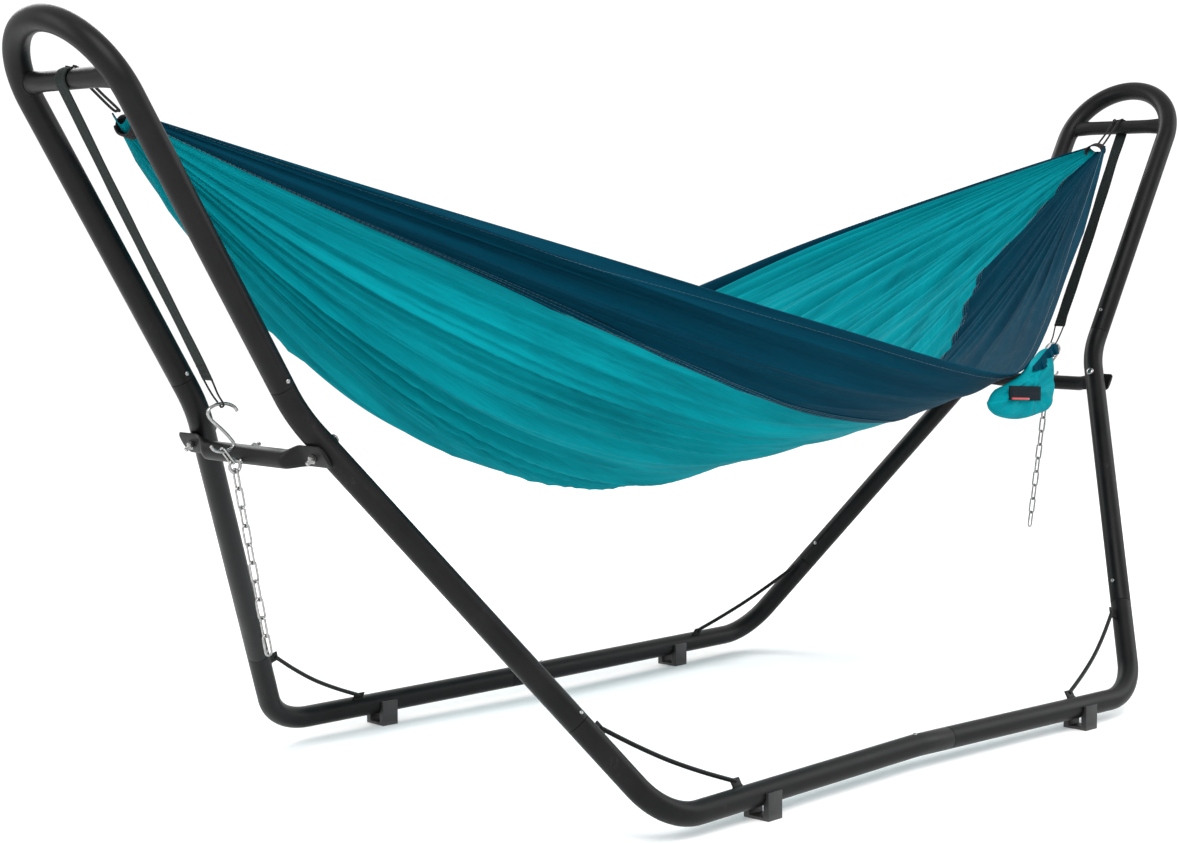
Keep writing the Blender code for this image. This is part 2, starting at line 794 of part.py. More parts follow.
def panel_edges(x):
    """The shares of the four long edges: near rim, near seam, far seam and far rim."""
    drift = NEAR_SEAM_DRIFT * max(0, x - NEAR_SEAM_FROM_X) ** NEAR_SEAM_POWER
    return (-1, NEAR_SEAM + drift, FAR_SEAM, 1)


def make_panel(name, edge, rows, finish):
    """One long panel of the fabric, between an edge and the next."""
    work = bmesh.new()
    grid = []
    for i in range(PANEL_COLUMNS + 1):
        x = PANEL_END_X * math.sin(math.pi * (i / PANEL_COLUMNS - 0.5))
        edges = panel_edges(x)
        gap = SEAM_GAP / 2 / rim_half_width(x, -1)
        low = edges[edge] + (gap if edge > 0 else 0)
        high = edges[edge + 1] - (gap if edge < 2 else 0)
        line = [work.verts.new(fabric_point(x, low + (high - low) * j / rows)) for j in range(rows + 1)]
        grid.append(line)
    for one, two in zip(grid, grid[1:]):
        for j in range(rows):
            work.faces.new((one[j], two[j], two[j + 1], one[j + 1]))
    mesh = bpy.data.meshes.new(name)
    work.to_mesh(mesh)
    work.free()
    mesh.shade_smooth()
    panel = put(bpy.data.objects.new(name, mesh), finish)
    solid = panel.modifiers.new("Thickness", "SOLIDIFY")
    solid.thickness = PANEL_T
    solid.offset = 0


def make_pouch():
    """The storage pouch, a soft bag that hangs just under the near rim, a little right of the middle."""
    work = bmesh.new()
    layers = []
    for depth, inset in ((0, 0.82), (0.25, 0.97), (0.6, 1.0), (0.88, 0.94), (1, 0.80)):
        middle_x = sum(x for x, _ in POUCH_OUTLINE) / len(POUCH_OUTLINE)
        middle_z = sum(z for _, z in POUCH_OUTLINE) / len(POUCH_OUTLINE)
        y = POUCH_BACK_Y - POUCH_DEPTH * depth
        ring = []
        for x, z in POUCH_OUTLINE:
            point = (middle_x + (x - middle_x) * inset, y, middle_z + (z - middle_z) * inset)
            ring.append(work.verts.new(point))
        layers.append(ring)
    for one, two in zip(layers, layers[1:]):
        for i in range(len(one)):
            j = (i + 1) % len(one)
            work.faces.new((one[i], one[j], two[j], two[i]))
    work.faces.new(layers[0])
    work.faces.new(layers[-1])
    bmesh.ops.recalc_face_normals(work, faces=work.faces)
    mesh = bpy.data.meshes.new("storage_pouch")
    work.to_mesh(mesh)
    work.free()
    mesh.shade_smooth()
    put(bpy.data.objects.new("storage_pouch", mesh), "cyan_nylon")


def make_foot(corner, end, side):
    along = rail_axis(end, side)
    spot = at(BASE, end, side) + along * FOOT_FROM_CORNER[corner]
    level = Vector((along.x, along.y, 0)).normalized()
    turn = Matrix((level, Vector((0, 0, 1)).cross(level), Vector((0, 0, 1)))).transposed()
    middle = Vector((spot.x, spot.y, FOOT_TOP / 2))
    foot = box(f"{corner}_foot", middle, (FOOT_LENGTH, FOOT_WIDTH, FOOT_TOP), turn)
    put(foot, "black_plastic")
    boolean(foot, rod(f"{corner}_foot_seat", spot - along * 0.05, spot + along * 0.05, TUBE_R + GAP, 24))
    slot_middle = Vector((spot.x, spot.y, (FOOT_FLOOR + RAIL_Z) / 2))
    slot_size = (0.1, 2 * FOOT_GAP_HALF, RAIL_Z - FOOT_FLOOR)
    boolean(foot, box(f"{corner}_foot_slot", slot_middle, slot_size, turn))
    return foot


def make_brace(corner, end, side):
    """A bowed rod across the inside of a base bend, with a flat tab at each end."""
    corner_point = at(BASE, end, side)
    down = leg_axis(end, side)
    along = rail_axis(end, side)
    on_leg = corner_point - down * BRACE_ON_LEG
    on_rail = corner_point + along * BRACE_ON_RAIL
    from_leg = square_to(along, down)
    from_rail = square_to(-down, along)
    normal = down.cross(along).normalized()
    first = on_leg + from_leg * (TUBE_R + TAB_HEIGHT * 0.62)
    last = on_rail + from_rail * (TUBE_R + TAB_HEIGHT * 0.62)
    bow = (corner_point - (first + last) / 2).normalized() * BRACE_BOW
    points = [first, first.lerp(last, 0.25) + bow * 0.7, first.lerp(last, 0.5) + bow]
    points += [first.lerp(last, 0.75) + bow * 0.7, last]
    brace = swept(f"{corner}_brace", smooth(points, 2), BRACE_R, 2)
    put(brace, "black_tube")
    for name, base, away, axis in (("leg", on_leg, from_leg, down), ("rail", on_rail, from_rail, along)):
        turn = Matrix((axis, normal, axis.cross(normal))).transposed()
        centre = base + away * (TUBE_R + GAP + TAB_HEIGHT / 2)
        tab = box(f"{corner}_{name}_tab", centre, (TAB_LENGTH, TAB_T, TAB_HEIGHT), turn)
        boolean(brace, tab, "UNION")


clear_scene()
parts = new_collection("hammock_on_stand")
cutters = new_collection("cutters")

for end_name, end in ENDS:
    make_end_loop(end_name, end)
    make_top_crossbar(end_name, end)
    make_waist_crossbar(end_name, end)
    make_eye_bolt(end_name, end)
    make_hook(end_name, end)
    make_anchor_link(end_name, end)
    make_chain(end_name, end)
    make_strap(end_name, end)
    make_cord_loop(end_name, end)
    make_rope(end_name, end)
for corner, end, side in CORNERS:
    make_elbow_leg(corner, end, side)
    make_base_corner(corner, end, side)
    make_brace(corner, end, side)
    make_foot(corner, end, side)
    make_bolt(corner, end, side)
    out = outer_face(end)
    nut_seat = waist_leg_point(end, side) + out * (TUBE_R + 2 * GAP + 2 * BAR_END_HALF)
    make_nut(f"{corner}_waist_nut", nut_seat, out, BOLT_HOLE_R)
for name, place, facing, hosts in button_sites():
    make_button(name, place, facing)
    cut_button_holes(place, facing, hosts, name)
make_panel("near_side_panel", 0, 4, "navy_nylon")
make_panel("centre_panel", 1, 8, "cyan_nylon")
make_panel("far_side_panel", 2, 2, "navy_nylon")
make_pouch()
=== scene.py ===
import math

import bmesh
import bpy
import numpy as np
from mathutils import Matrix, Vector


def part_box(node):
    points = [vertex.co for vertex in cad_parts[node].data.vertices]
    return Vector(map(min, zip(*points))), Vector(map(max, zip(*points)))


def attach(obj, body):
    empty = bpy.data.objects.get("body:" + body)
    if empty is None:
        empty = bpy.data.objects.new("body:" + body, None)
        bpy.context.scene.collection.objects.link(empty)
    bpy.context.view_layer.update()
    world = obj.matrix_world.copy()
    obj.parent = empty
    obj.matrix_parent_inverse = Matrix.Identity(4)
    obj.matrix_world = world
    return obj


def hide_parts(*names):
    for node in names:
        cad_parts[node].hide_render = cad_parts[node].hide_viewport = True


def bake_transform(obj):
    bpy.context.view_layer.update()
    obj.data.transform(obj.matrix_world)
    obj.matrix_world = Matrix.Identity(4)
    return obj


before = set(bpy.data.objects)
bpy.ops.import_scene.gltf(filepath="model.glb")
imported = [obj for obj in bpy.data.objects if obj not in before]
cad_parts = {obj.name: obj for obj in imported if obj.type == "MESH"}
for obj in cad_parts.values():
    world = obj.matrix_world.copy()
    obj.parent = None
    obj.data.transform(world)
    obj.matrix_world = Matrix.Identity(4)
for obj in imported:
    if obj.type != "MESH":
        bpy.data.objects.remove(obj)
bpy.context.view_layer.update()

# All lengths are in metres, with +X along the stand, +Y across it and +Z up.

# Stand tubes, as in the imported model
TUBE_R = 0.021
BORE_R = 0.0194
STUB_R = 0.0189
STUB_LENGTH = 0.070
BORE_LENGTH = 0.075
TUBE_SIDES = 48
GAP = 0.0004
RAIL_Z = 0.041
WAIST = Vector((1.128, 0.136, 0.664 + RAIL_Z))
BASE = Vector((0.690, 0.525, RAIL_Z))
RAIL_MID = Vector((0.0, 0.499, RAIL_Z + 0.0057))
LEAN = Vector((0.6, 0.0, 1.0)).normalized()
LOOP_RISE = 0.493
WAIST_BEND_R = 0.18
BASE_BEND_R = 0.13
LOOP_JOINT = 0.055
LEG_JOINT = 0.219
RAIL_JOINT_X = 0.093
LIP = 0.0009
BEND_STEPS = 22
LOOP_STEPS = 56

# Crossbars and their fixings
BAR_R = 0.016
BAR_END_HEIGHT = 0.0205
BAR_END_HALF = 0.0032
TOP_BAR_THINNED = 0.003
BAR_FLAT = 0.062
BAR_PRESSED = 0.023
BAR_FLARE_FROM = 0.068
TOP_BAR_RISE = 0.5213
TOP_BAR_END = 0.124
WAIST_BAR_DOWN = 0.066
WAIST_BAR_PAST = 0.028
BOLT_R = 0.0040
BOLT_HOLE_R = 0.0046
BOLT_HEAD_R = 0.0085
BOLT_HEAD_H = 0.0055
BOLT_TIP = 0.010
NUT_R = 0.0078
NUT_H = 0.0065
THREAD_PITCH = 0.00125
BUTTON_HOLE_R = 0.0045
BUTTON_PROUD = 0.0026
BUTTON_DEPTH = 0.0085
BUTTON_R = 0.0040
BUTTON_DOME = 0.0018

# Eye bolts, hooks and chains
EYE_R = 0.0105
EYE_WIRE_R = 0.0030
EYE_BEYOND = 0.014
EYE_TAIL = 0.008
HOOK_X = 1.176
HOOK_Z = 0.6815
HOOK_WIRE_R = 0.0028
HOOK_WIDEN = 1.3
HOOK_HALF = 0.0385
LINK_WIRE_R = 0.0020
LINK_STEP = 0.0316
LINK_HALF_WIDTH = 0.0062
LINKS = 10
CHAIN_LEAN = math.radians(11.2)

# Straps, ropes and cords
STRAP_HALF = 0.015
STRAP_T = 0.0026
STRAP_WRAP = 118
STRAP_STEPS = 90
STRAP_FOOT = Vector((1.2010, 0.0, 0.7600))
ROPE_R = 0.0022
CORD_R = 0.0016
CORD_CLEAR = 0.0028
GATHER = Vector((1.362, 0.0, 1.184))

# Fabric
PANEL_END_X = 1.352
RIM_HALF = 0.70
BELLY_Z = 0.520
BELLY_LOW_X = -0.29
BELLY_POWERS = (1.75, 1.41)
BELLY_END_DROP = 0.012
NEAR_SEAM = -0.85
NEAR_SEAM_FROM_X = -1.0
NEAR_SEAM_DRIFT = 0.187
NEAR_SEAM_POWER = 1.83
FAR_SEAM = 0.89
END_HALF = 0.014
MIDDLE_EASE = 0.05
RIMS = {(-1, -1): (0.740, 1.09, 1.20), (1, -1): (0.740, 1.02, 1.08),
        (-1, 1): (0.655, 1.12, 1.95), (1, 1): (0.655, 1.12, 1.95)}

# How far the soft pouch stands proud of its plain solid
POUCH_PROUD = 0.010

# Feet and braces
FOOT_LENGTH = 0.037
FOOT_WIDTH = 0.054
FOOT_TOP = 0.049
FOOT_FLOOR = 0.005
FOOT_GAP_HALF = 0.0155
FOOT_FROM_CORNER = {"left_near": 0.246, "left_far": 0.262, "right_far": 0.262, "right_near": 0.176}
BRACE_R = 0.0040
BRACE_ON_LEG = 0.184
BRACE_ON_RAIL = 0.192
BRACE_BOW = 0.010
TAB_HEIGHT = 0.017
TAB_LENGTH = 0.024
TAB_T = 0.0032

HINT = Vector((0.13, 0.21, 0.97))
ENDS = (("left", -1), ("right", 1))
SIDES = (("near", -1), ("far", 1))
CORNERS = [(f"{e}_{s}", ex, sy) for e, ex in ENDS for s, sy in SIDES]


# ---------------------------------------------------------------- camera, floor and lights

CAMERA_AT = Vector((-3.3178, -3.0064, 1.0119))
CAMERA_YAW = 0.77989
CAMERA_PITCH = -0.08832
CAMERA_ROLL = -0.004488
LENS_MM = 69.5


def make_camera():
    ahead = Vector((math.sin(CAMERA_YAW) * math.cos(CAMERA_PITCH),
                    math.cos(CAMERA_YAW) * math.cos(CAMERA_PITCH), math.sin(CAMERA_PITCH)))
    right = Vector((math.cos(CAMERA_YAW), -math.sin(CAMERA_YAW), 0))
    up = right.cross(ahead)
    right_2 = right * math.cos(CAMERA_ROLL) + up * math.sin(CAMERA_ROLL)
    up_2 = up * math.cos(CAMERA_ROLL) - right * math.sin(CAMERA_ROLL)
    data = bpy.data.cameras.new("camera")
    data.lens = LENS_MM
    data.sensor_width = 36
    data.sensor_fit = "HORIZONTAL"
    data.clip_end = 100
    camera = bpy.data.objects.new("camera", data)
    turn = Matrix((right_2, up_2, -ahead)).transposed()
    camera.matrix_world = Matrix.Translation(CAMERA_AT) @ turn.to_4x4()
    bpy.context.scene.collection.objects.link(camera)
    bpy.context.scene.camera = camera


def area_light(name, place, target, size, power, tint=(1, 1, 1)):
    data = bpy.data.lights.new(name, "AREA")
    data.shape = "RECTANGLE"
    data.size, data.size_y = size
    data.energy = power
    data.color = tint
    light = bpy.data.objects.new(name, data)
    direction = Vector(target) - Vector(place)
    light.location = place
    light.rotation_euler = direction.to_track_quat("-Z", "Y").to_euler()
    bpy.context.scene.collection.objects.link(light)


def make_studio():
    world = bpy.data.worlds.new("studio")
    world.use_nodes = True
    back = world.node_tree.nodes["Background"]
    back.inputs["Color"].default_value = (1.0, 1.0, 1.0, 1)
    back.inputs["Strength"].default_value = 1.1
    bpy.context.scene.view_settings.view_transform = "Standard"
    bpy.context.scene.world = world
    mesh = bpy.data.meshes.new("floor")
    half = 40
    mesh.from_pydata([(-half, -half, 0), (half, -half, 0), (half, half, 0), (-half, half, 0)], [],
                     [(0, 1, 2, 3)])
    floor = bpy.data.objects.new("floor", mesh)
    bpy.context.scene.collection.objects.link(floor)
    pale = bpy.data.materials.new("pale_floor")
    pale.use_nodes = True
    shader = pale.node_tree.nodes["Principled BSDF"]
    shader.inputs["Base Color"].default_value = (0.96, 0.96, 0.96, 1)
    shader.inputs["Roughness"].default_value = 0.75
    shader.inputs["Specular IOR Level"].default_value = 0.1
    mesh.materials.append(pale)
    area_light("key", (-2.6, -3.4, 4.2), (0, 0, 0.5), (3.2, 3.2), 230)
    area_light("fill", (4.2, -2.6, 2.4), (0, 0, 0.7), (2.4, 3.0), 70, (0.96, 0.98, 1))
    area_light("back", (0.8, 4.2, 3.4), (0, 0, 0.7), (3.4, 2.0), 110)
    area_light("left_edge", (-4.4, 1.2, 2.2), (-0.8, 0, 0.7), (1.4, 2.6), 60)


# ---------------------------------------------------------------- materials


class Look:
    """A node material under construction, with short ways to add and join nodes."""

    def __init__(self, name):
        self.material = bpy.data.materials.new(name)
        self.material.use_nodes = True
        self.tree = self.material.node_tree
        self.shader = self.tree.nodes["Principled BSDF"]

    def add(self, kind, inputs=(), **settings):
        node = self.tree.nodes.new(kind)
        for key, value in settings.items():
            setattr(node, key, value)
        for key, value in dict(inputs).items():
            if isinstance(value, bpy.types.NodeSocket):
                self.tree.links.new(value, node.inputs[key])
            else:
                node.inputs[key].default_value = value
        return node

    def fixed(self, **values):
        for key, value in values.items():
            self.shader.inputs[key.replace("_", " ")].default_value = value

    def join(self, socket, name):
        self.tree.links.new(socket, self.shader.inputs[name])

    def place(self, kind="Object", scale=(1, 1, 1)):
        source = self.add("ShaderNodeTexCoord").outputs[kind]
        return self.add("ShaderNodeMapping", {"Vector": source, "Scale": scale}).outputs[0]

    def noise(self, where, scale, detail=3.0, rough=0.55):
        inputs = {"Vector": where, "Scale": scale, "Detail": detail, "Roughness": rough}
        return self.add("ShaderNodeTexNoise", inputs).outputs["Fac"]

    def wave(self, where, scale, axis):
        node = self.add("ShaderNodeTexWave", {"Vector": where, "Scale": scale}, bands_direction=axis)
        return node.outputs["Fac"]

    def spread(self, value, low, high, to_low=0.0, to_high=1.0):
        inputs = {0: value, 1: low, 2: high, 3: to_low, 4: to_high}
        return self.add("ShaderNodeMapRange", inputs).outputs[0]

    def blend(self, share, first, second):
        node = self.add("ShaderNodeMix", data_type="RGBA")
        for socket, value in ((0, share), (6, first), (7, second)):
            if isinstance(value, bpy.types.NodeSocket):
                self.tree.links.new(value, node.inputs[socket])
            else:
                node.inputs[socket].default_value = value if socket == 0 else (*value, 1)
        return node.outputs[2]

    def maths(self, how, first, second=0.0):
        return self.add("ShaderNodeMath", {0: first, 1: second}, operation=how).outputs[0]

    def bump(self, height, distance, strength=1.0, below=None):
        inputs = {"Height": height, "Distance": distance, "Strength": strength}
        if below is not None:
            inputs["Normal"] = below
        return self.add("ShaderNodeBump", inputs).outputs["Normal"]


def powder_coat():
    """Matte black powder coat: fine orange peel, faint handling scuffs, dust on what faces up."""
    look = Look("powder_coat")
    where = look.place()
    peel = look.noise(where, 900, 2)
    broad = look.noise(where, 14, 4, 0.6)
    scuffs = look.noise(look.place(scale=(1, 1, 0.35)), 160, 5, 0.7)
    scuffed = look.spread(look.maths("MULTIPLY", scuffs, broad), 0.36, 0.48)
    dark = look.blend(look.spread(broad, 0.35, 0.65), (0.0032, 0.0033, 0.0035), (0.0056, 0.0056, 0.006))
    upward = look.add("ShaderNodeSeparateXYZ", {0: look.add("ShaderNodeNewGeometry").outputs["Normal"]})
    dust = look.maths("MULTIPLY", look.spread(upward.outputs[2], 0.55, 1.0, 0, 0.10), broad)
    coat = look.blend(dust, dark, (0.11, 0.11, 0.105))
    look.join(look.blend(look.maths("MULTIPLY", scuffed, 0.35), coat, (0.045, 0.045, 0.046)), "Base Color")
    look.join(look.spread(broad, 0.3, 0.7, 0.36, 0.47), "Roughness")
    look.join(look.bump(peel, 0.00006, 0.7, look.bump(broad, 0.0004, 0.15)), "Normal")
    look.fixed(Specular_IOR_Level=0.13)
    return look.material


def zinc():
    """Bright zinc plate: slightly mottled, with fine drawing marks and duller patches."""
    look = Look("zinc")
    where = look.place()
    grain = look.noise(where, 1500, 3)
    mottle = look.noise(where, 260, 4, 0.65)
    plate = look.blend(look.spread(mottle, 0.35, 0.7), (0.36, 0.36, 0.355), (0.20, 0.20, 0.195))
    look.join(plate, "Base Color")
    look.join(look.spread(mottle, 0.3, 0.75, 0.20, 0.42), "Roughness")
    look.join(look.bump(grain, 0.00005, 0.6, look.bump(mottle, 0.00012, 0.5)), "Normal")
    look.fixed(Metallic=1.0)
    return look.material


def moulded_plastic():
    """Black moulded plastic with a fine spark texture, scuffed near the floor."""
    look = Look("moulded_plastic")
    where = look.place()
    spark = look.noise(where, 1700, 2)
    broad = look.noise(where, 60, 4, 0.6)
    height = look.add("ShaderNodeSeparateXYZ", {0: look.add("ShaderNodeTexCoord").outputs["Object"]})
    low = look.maths("MULTIPLY", look.spread(height.outputs[2], 0.012, 0.0, 0, 0.7), broad)
    look.join(look.blend(low, (0.011, 0.011, 0.0115), (0.085, 0.08, 0.075)), "Base Color")
    look.join(look.spread(broad, 0.3, 0.7, 0.46, 0.62), "Roughness")
    look.join(look.bump(spark, 0.00010, 0.8), "Normal")
    return look.material


def webbing():
    """Flat woven webbing: ribs across, a twill line along, and darker edges."""
    look = Look("webbing")
    where = look.place("UV")
    parts = look.add("ShaderNodeSeparateXYZ", {0: where})
    ribs = look.wave(where, 1 / 0.0022, "Y")
    twill = look.wave(where, 1 / 0.0017, "DIAGONAL")
    edge = look.spread(look.maths("ABSOLUTE", look.maths("SUBTRACT", parts.outputs[0], STRAP_HALF)),
                       STRAP_HALF - 0.0032, STRAP_HALF - 0.0024)
    weave = look.maths("ADD", look.maths("MULTIPLY", ribs, 0.7), look.maths("MULTIPLY", twill, 0.3))
    fuzz = look.noise(look.place(), 700, 4)
    base = look.blend(weave, (0.0035, 0.005, 0.005), (0.017, 0.026, 0.024))
    worn = look.blend(look.spread(fuzz, 0.55, 0.8, 0, 0.4), base, (0.045, 0.055, 0.052))
    look.join(look.blend(look.maths("MULTIPLY", edge, 0.55), worn, (0.004, 0.006, 0.006)), "Base Color")
    look.join(look.bump(weave, 0.0004, 0.9, look.bump(fuzz, 0.0002, 0.4)), "Normal")
    look.fixed(Roughness=0.82, Sheen_Weight=0.03, Sheen_Roughness=0.5, Specular_IOR_Level=0.1)
    return look.material


def braid():
    """Braided cord: two crossing sets of strands along the cord's own length."""
    look = Look("braid")
    where = look.place("UV")
    leaning = look.wave(look.place("UV", (1, 1, 1)), 1 / 0.0024, "DIAGONAL")
    across = look.wave(look.add("ShaderNodeMapping", {"Vector": where, "Scale": (-1, 1, 1)}).outputs[0],
                       1 / 0.0024, "DIAGONAL")
    strands = look.maths("MAXIMUM", leaning, across)
    fuzz = look.noise(look.place(), 1400, 3)
    look.join(look.blend(strands, (0.004, 0.004, 0.0045), (0.020, 0.020, 0.022)), "Base Color")
    look.join(look.bump(strands, 0.0004, 0.9, look.bump(fuzz, 0.0001, 0.5)), "Normal")
    look.fixed(Roughness=0.78, Sheen_Weight=0.04, Specular_IOR_Level=0.15)
    return look.material


def nylon(name, shaded_colour, lit_colour):
    """Light nylon taffeta: a fine plain weave and soft crinkles along the pull.

    UV is the flat cloth in metres, U across and V along. The colour runs between a shaded and a lit copy of
    the cloth's colour. The noise that bumps the broad folds drives it, so shade is painted into the fold
    valleys, and a finer slub noise adds real random tone.
    """
    look = Look(name)
    where = look.place("UV")
    warp = look.wave(where, 1 / 0.0016, "X")
    weft = look.wave(where, 1 / 0.0016, "Y")
    weave = look.maths("MULTIPLY", warp, weft)
    crinkle = look.noise(look.place("UV", (1, 0.22, 1)), 95, 5, 0.62)
    soft = look.noise(look.place("UV", (1, 0.10, 1)), 26, 4, 0.55)
    slub = look.noise(look.place("UV", (1, 0.015, 1)), 900, 2)
    # Painted shade: the fold noise that bumps the cloth also darkens its colour in the fold valleys. The slub
    # noise adds real random tone.
    fold_shade_and_slub = look.maths("ADD", look.maths("MULTIPLY", soft, 0.65), look.maths("MULTIPLY", slub, 0.35))
    base = look.blend(look.spread(fold_shade_and_slub, 0.33, 0.68), shaded_colour, lit_colour)
    gaps = tuple(c * 0.62 for c in shaded_colour)
    look.join(look.blend(look.maths("MULTIPLY", weave, 0.16), base, gaps), "Base Color")
    look.join(look.spread(crinkle, 0.3, 0.7, 0.60, 0.75), "Roughness")
    normal = look.bump(soft, 0.0055, 0.75)
    normal = look.bump(crinkle, 0.0012, 0.75, normal)
    look.join(look.bump(weave, 0.00012, 0.6, normal), "Normal")
    look.fixed(Specular_IOR_Level=0.03)
    return look.material


def thread(name, colour):
    look = Look(name)
    twist = look.noise(look.place(), 2600, 2)
    look.join(look.blend(twist, tuple(c * 0.6 for c in colour), colour), "Base Color")
    look.join(look.bump(twist, 0.0001, 0.8), "Normal")
    look.fixed(Roughness=0.6, Sheen_Weight=0.2)
    return look.material


# ---------------------------------------------------------------- mesh helpers


def shown(name, mesh, look, body, *nodes):
    """Adds a mesh as a piece that stands for its CAD nodes. A piece with no body is not attached to any."""
    material, slot = LOOKS[look]
    mesh.materials.clear()
    mesh.materials.append(material)
    obj = bpy.data.objects.new(name, mesh)
    bpy.context.scene.collection.objects.link(obj)
    if body:
        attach(obj, body)
    if nodes:
        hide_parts(*nodes)
    return obj


def at(point, end=1, side=1):
    return Vector((point[0] * end, point[1] * side, point[2]))


def filleted(corners, radius, steps=BEND_STEPS):
    """A path of straight runs whose inner corners are arcs of one radius."""
    path = [corners[0].copy()]
    for before, corner, after in zip(corners, corners[1:], corners[2:]):
        back = (before - corner).normalized()
        on = (after - corner).normalized()
        half = back.angle(on) / 2
        centre = corner + (back + on).normalized() * (radius / math.sin(half))
        first = corner + back * (radius / math.tan(half)) - centre
        axis = back.cross(on).normalized()
        sweep = -(math.pi - 2 * half)
        for i in range(steps + 1):
            path.append(centre + Matrix.Rotation(sweep * i / steps, 3, axis) @ first)
    path.append(corners[-1].copy())
    return path


def smooth(points, per_span=3):
    """A Catmull-Rom curve through the points."""
    count = len(points)
    path = []
    for i in range(count - 1):
        a, b, c, d = (points[min(max(i + k - 1, 0), count - 1)] for k in range(4))
        for step in range(per_span):
            t = step / per_span
            curve = 2 * b + (c - a) * t + (2 * a - 5 * b + 4 * c - d) * t * t + (3 * b - a - 3 * c + d) * t**3
            path.append(0.5 * curve)
    path.append(points[-1].copy())
    return path


def grid_mesh(name, points, uvs, wrap, caps):
    """A mesh from rows of points; wrap joins each row's ends and caps closes the first and last rows."""
    rows, columns = points.shape[:2]
    mesh = bpy.data.meshes.new(name)
    across = columns if wrap else columns - 1
    faces, face_uvs = [], []
    for i in range(rows - 1):
        for j in range(across):
            k = (j + 1) % columns
            faces.append((i * columns + j, i * columns + k, (i + 1) * columns + k, (i + 1) * columns + j))
            face_uvs += [uvs[i][j], uvs[i][j + 1], uvs[i + 1][j + 1], uvs[i + 1][j]]
    if caps:
        faces.append(tuple(range(columns))[::-1])
        faces.append(tuple((rows - 1) * columns + j for j in range(columns)))
        face_uvs += [uvs[0][j] for j in range(columns)][::-1]
        face_uvs += [uvs[rows - 1][j] for j in range(columns)]
    mesh.from_pydata(points.reshape(-1, 3).tolist(), [], faces)
    layer = mesh.uv_layers.new(name="UVMap")
    layer.data.foreach_set("uv", np.array(face_uvs, np.float32).ravel())
    work = bmesh.new()
    work.from_mesh(mesh)
    bmesh.ops.recalc_face_normals(work, faces=work.faces)
    work.to_mesh(mesh)
    work.free()
    mesh.shade_smooth()
    return mesh


def tube_mesh(name, path, radius, sides=20, closed=False, radii=None, sharp=40):
    """A round tube along a path, with UV in metres round and along it."""
    points = np.array([list(p) for p in path], float)
    count = len(points)
    if closed:
        tangents = np.roll(points, -1, 0) - np.roll(points, 1, 0)
    else:
        tangents = np.gradient(points, axis=0)
    tangents /= np.linalg.norm(tangents, axis=1)[:, None]
    normal = np.cross(tangents[0], [0.31, 0.77, 0.55])
    normal /= np.linalg.norm(normal)
    normals = []
    for tangent in tangents:
        normal = normal - tangent * (normal @ tangent)
        normal /= np.linalg.norm(normal)
        normals.append(normal)
    normals = np.array(normals)
    if closed:
        start, last = normals[0], normals[-1] - tangents[0] * (normals[-1] @ tangents[0])
        last /= np.linalg.norm(last)
        slip = math.atan2(np.cross(last, start) @ tangents[0], last @ start)
    else:
        slip = 0.0
    sideways = np.cross(tangents, normals)
    radii = np.full(count, radius) if radii is None else np.array(radii, float)
    along = np.concatenate([[0], np.cumsum(np.linalg.norm(np.diff(points, axis=0), axis=1))])
    rings, uvs = [], []
    order = list(range(count)) + ([0] if closed else [])
    for i in order:
        twist = slip * i / count
        angles = twist + 2 * math.pi * np.arange(sides) / sides
        spokes = np.cos(angles)[:, None] * normals[i] + np.sin(angles)[:, None] * sideways[i]
        rings.append(points[i] + radii[i] * spokes)
        uvs.append([(2 * math.pi * radius * j / sides, along[i]) for j in range(sides + 1)])
    if not closed:
        mesh = grid_mesh(name, np.array(rings), uvs, True, True)
    else:
        uvs[-1] = [(u, along[-1] + np.linalg.norm(points[0] - points[-1])) for u, _ in uvs[-1]]
        mesh = grid_mesh(name, np.array(rings), uvs, True, False)
        work = bmesh.new()
        work.from_mesh(mesh)
        bmesh.ops.remove_doubles(work, verts=work.verts, dist=0.00001)
        bmesh.ops.recalc_face_normals(work, faces=work.faces)
        work.to_mesh(mesh)
        work.free()
    mesh.set_sharp_from_angle(angle=math.radians(sharp))
    return mesh


def frame_along(axis, up=HINT):
    z = axis.normalized()
    x = (up - z * up.dot(z)).normalized()
    return Matrix((x, z.cross(x), z)).transposed()


def turned_mesh(name, profile, centre, axis, segments=36, sharp=35):
    """A solid of revolution: profile pairs are radius and height along the axis."""
    turn = frame_along(axis)
    work = bmesh.new()
    rings = []
    for radius, height in profile:
        if radius == 0:
            rings.append([work.verts.new(centre + turn @ Vector((0, 0, height)))])
            continue
        ring = []
        for i in range(segments):
            angle = 2 * math.pi * i / segments
            offset = Vector((radius * math.cos(angle), radius * math.sin(angle), height))
            ring.append(work.verts.new(centre + turn @ offset))
        rings.append(ring)
    for low, high in zip(rings, rings[1:]):
        for i in range(segments):
            j = (i + 1) % segments
            quad = [low[i % len(low)], low[j % len(low)], high[j % len(high)], high[i % len(high)]]
            work.faces.new(list(dict.fromkeys(quad)))
    return finished(work, name, sharp)


def finished(work, name, sharp=35):
    bmesh.ops.recalc_face_normals(work, faces=work.faces)
    mesh = bpy.data.meshes.new(name)
    work.to_mesh(mesh)
    work.free()
    mesh.shade_smooth()
    mesh.set_sharp_from_angle(angle=math.radians(sharp))
    return mesh


def rod_mesh(name, start, end, radius, segments=36):
    return turned_mesh(name, [(0, 0), (radius, 0), (radius, (end - start).length), (0, (end - start).length)],
                       start, end - start, segments)


def box_mesh(name, centre, size, turn=Matrix.Identity(3), bevel=0.0, steps=3):
    work = bmesh.new()
    bmesh.ops.create_cube(work, size=1.0)
    bmesh.ops.scale(work, vec=Vector(size), verts=work.verts)
    if bevel:
        bmesh.ops.bevel(work, geom=work.edges[:], offset=bevel, segments=steps, affect="EDGES", profile=0.5)
    bmesh.ops.transform(work, matrix=Matrix.Translation(centre) @ turn.to_4x4(), verts=work.verts)
    return finished(work, name)


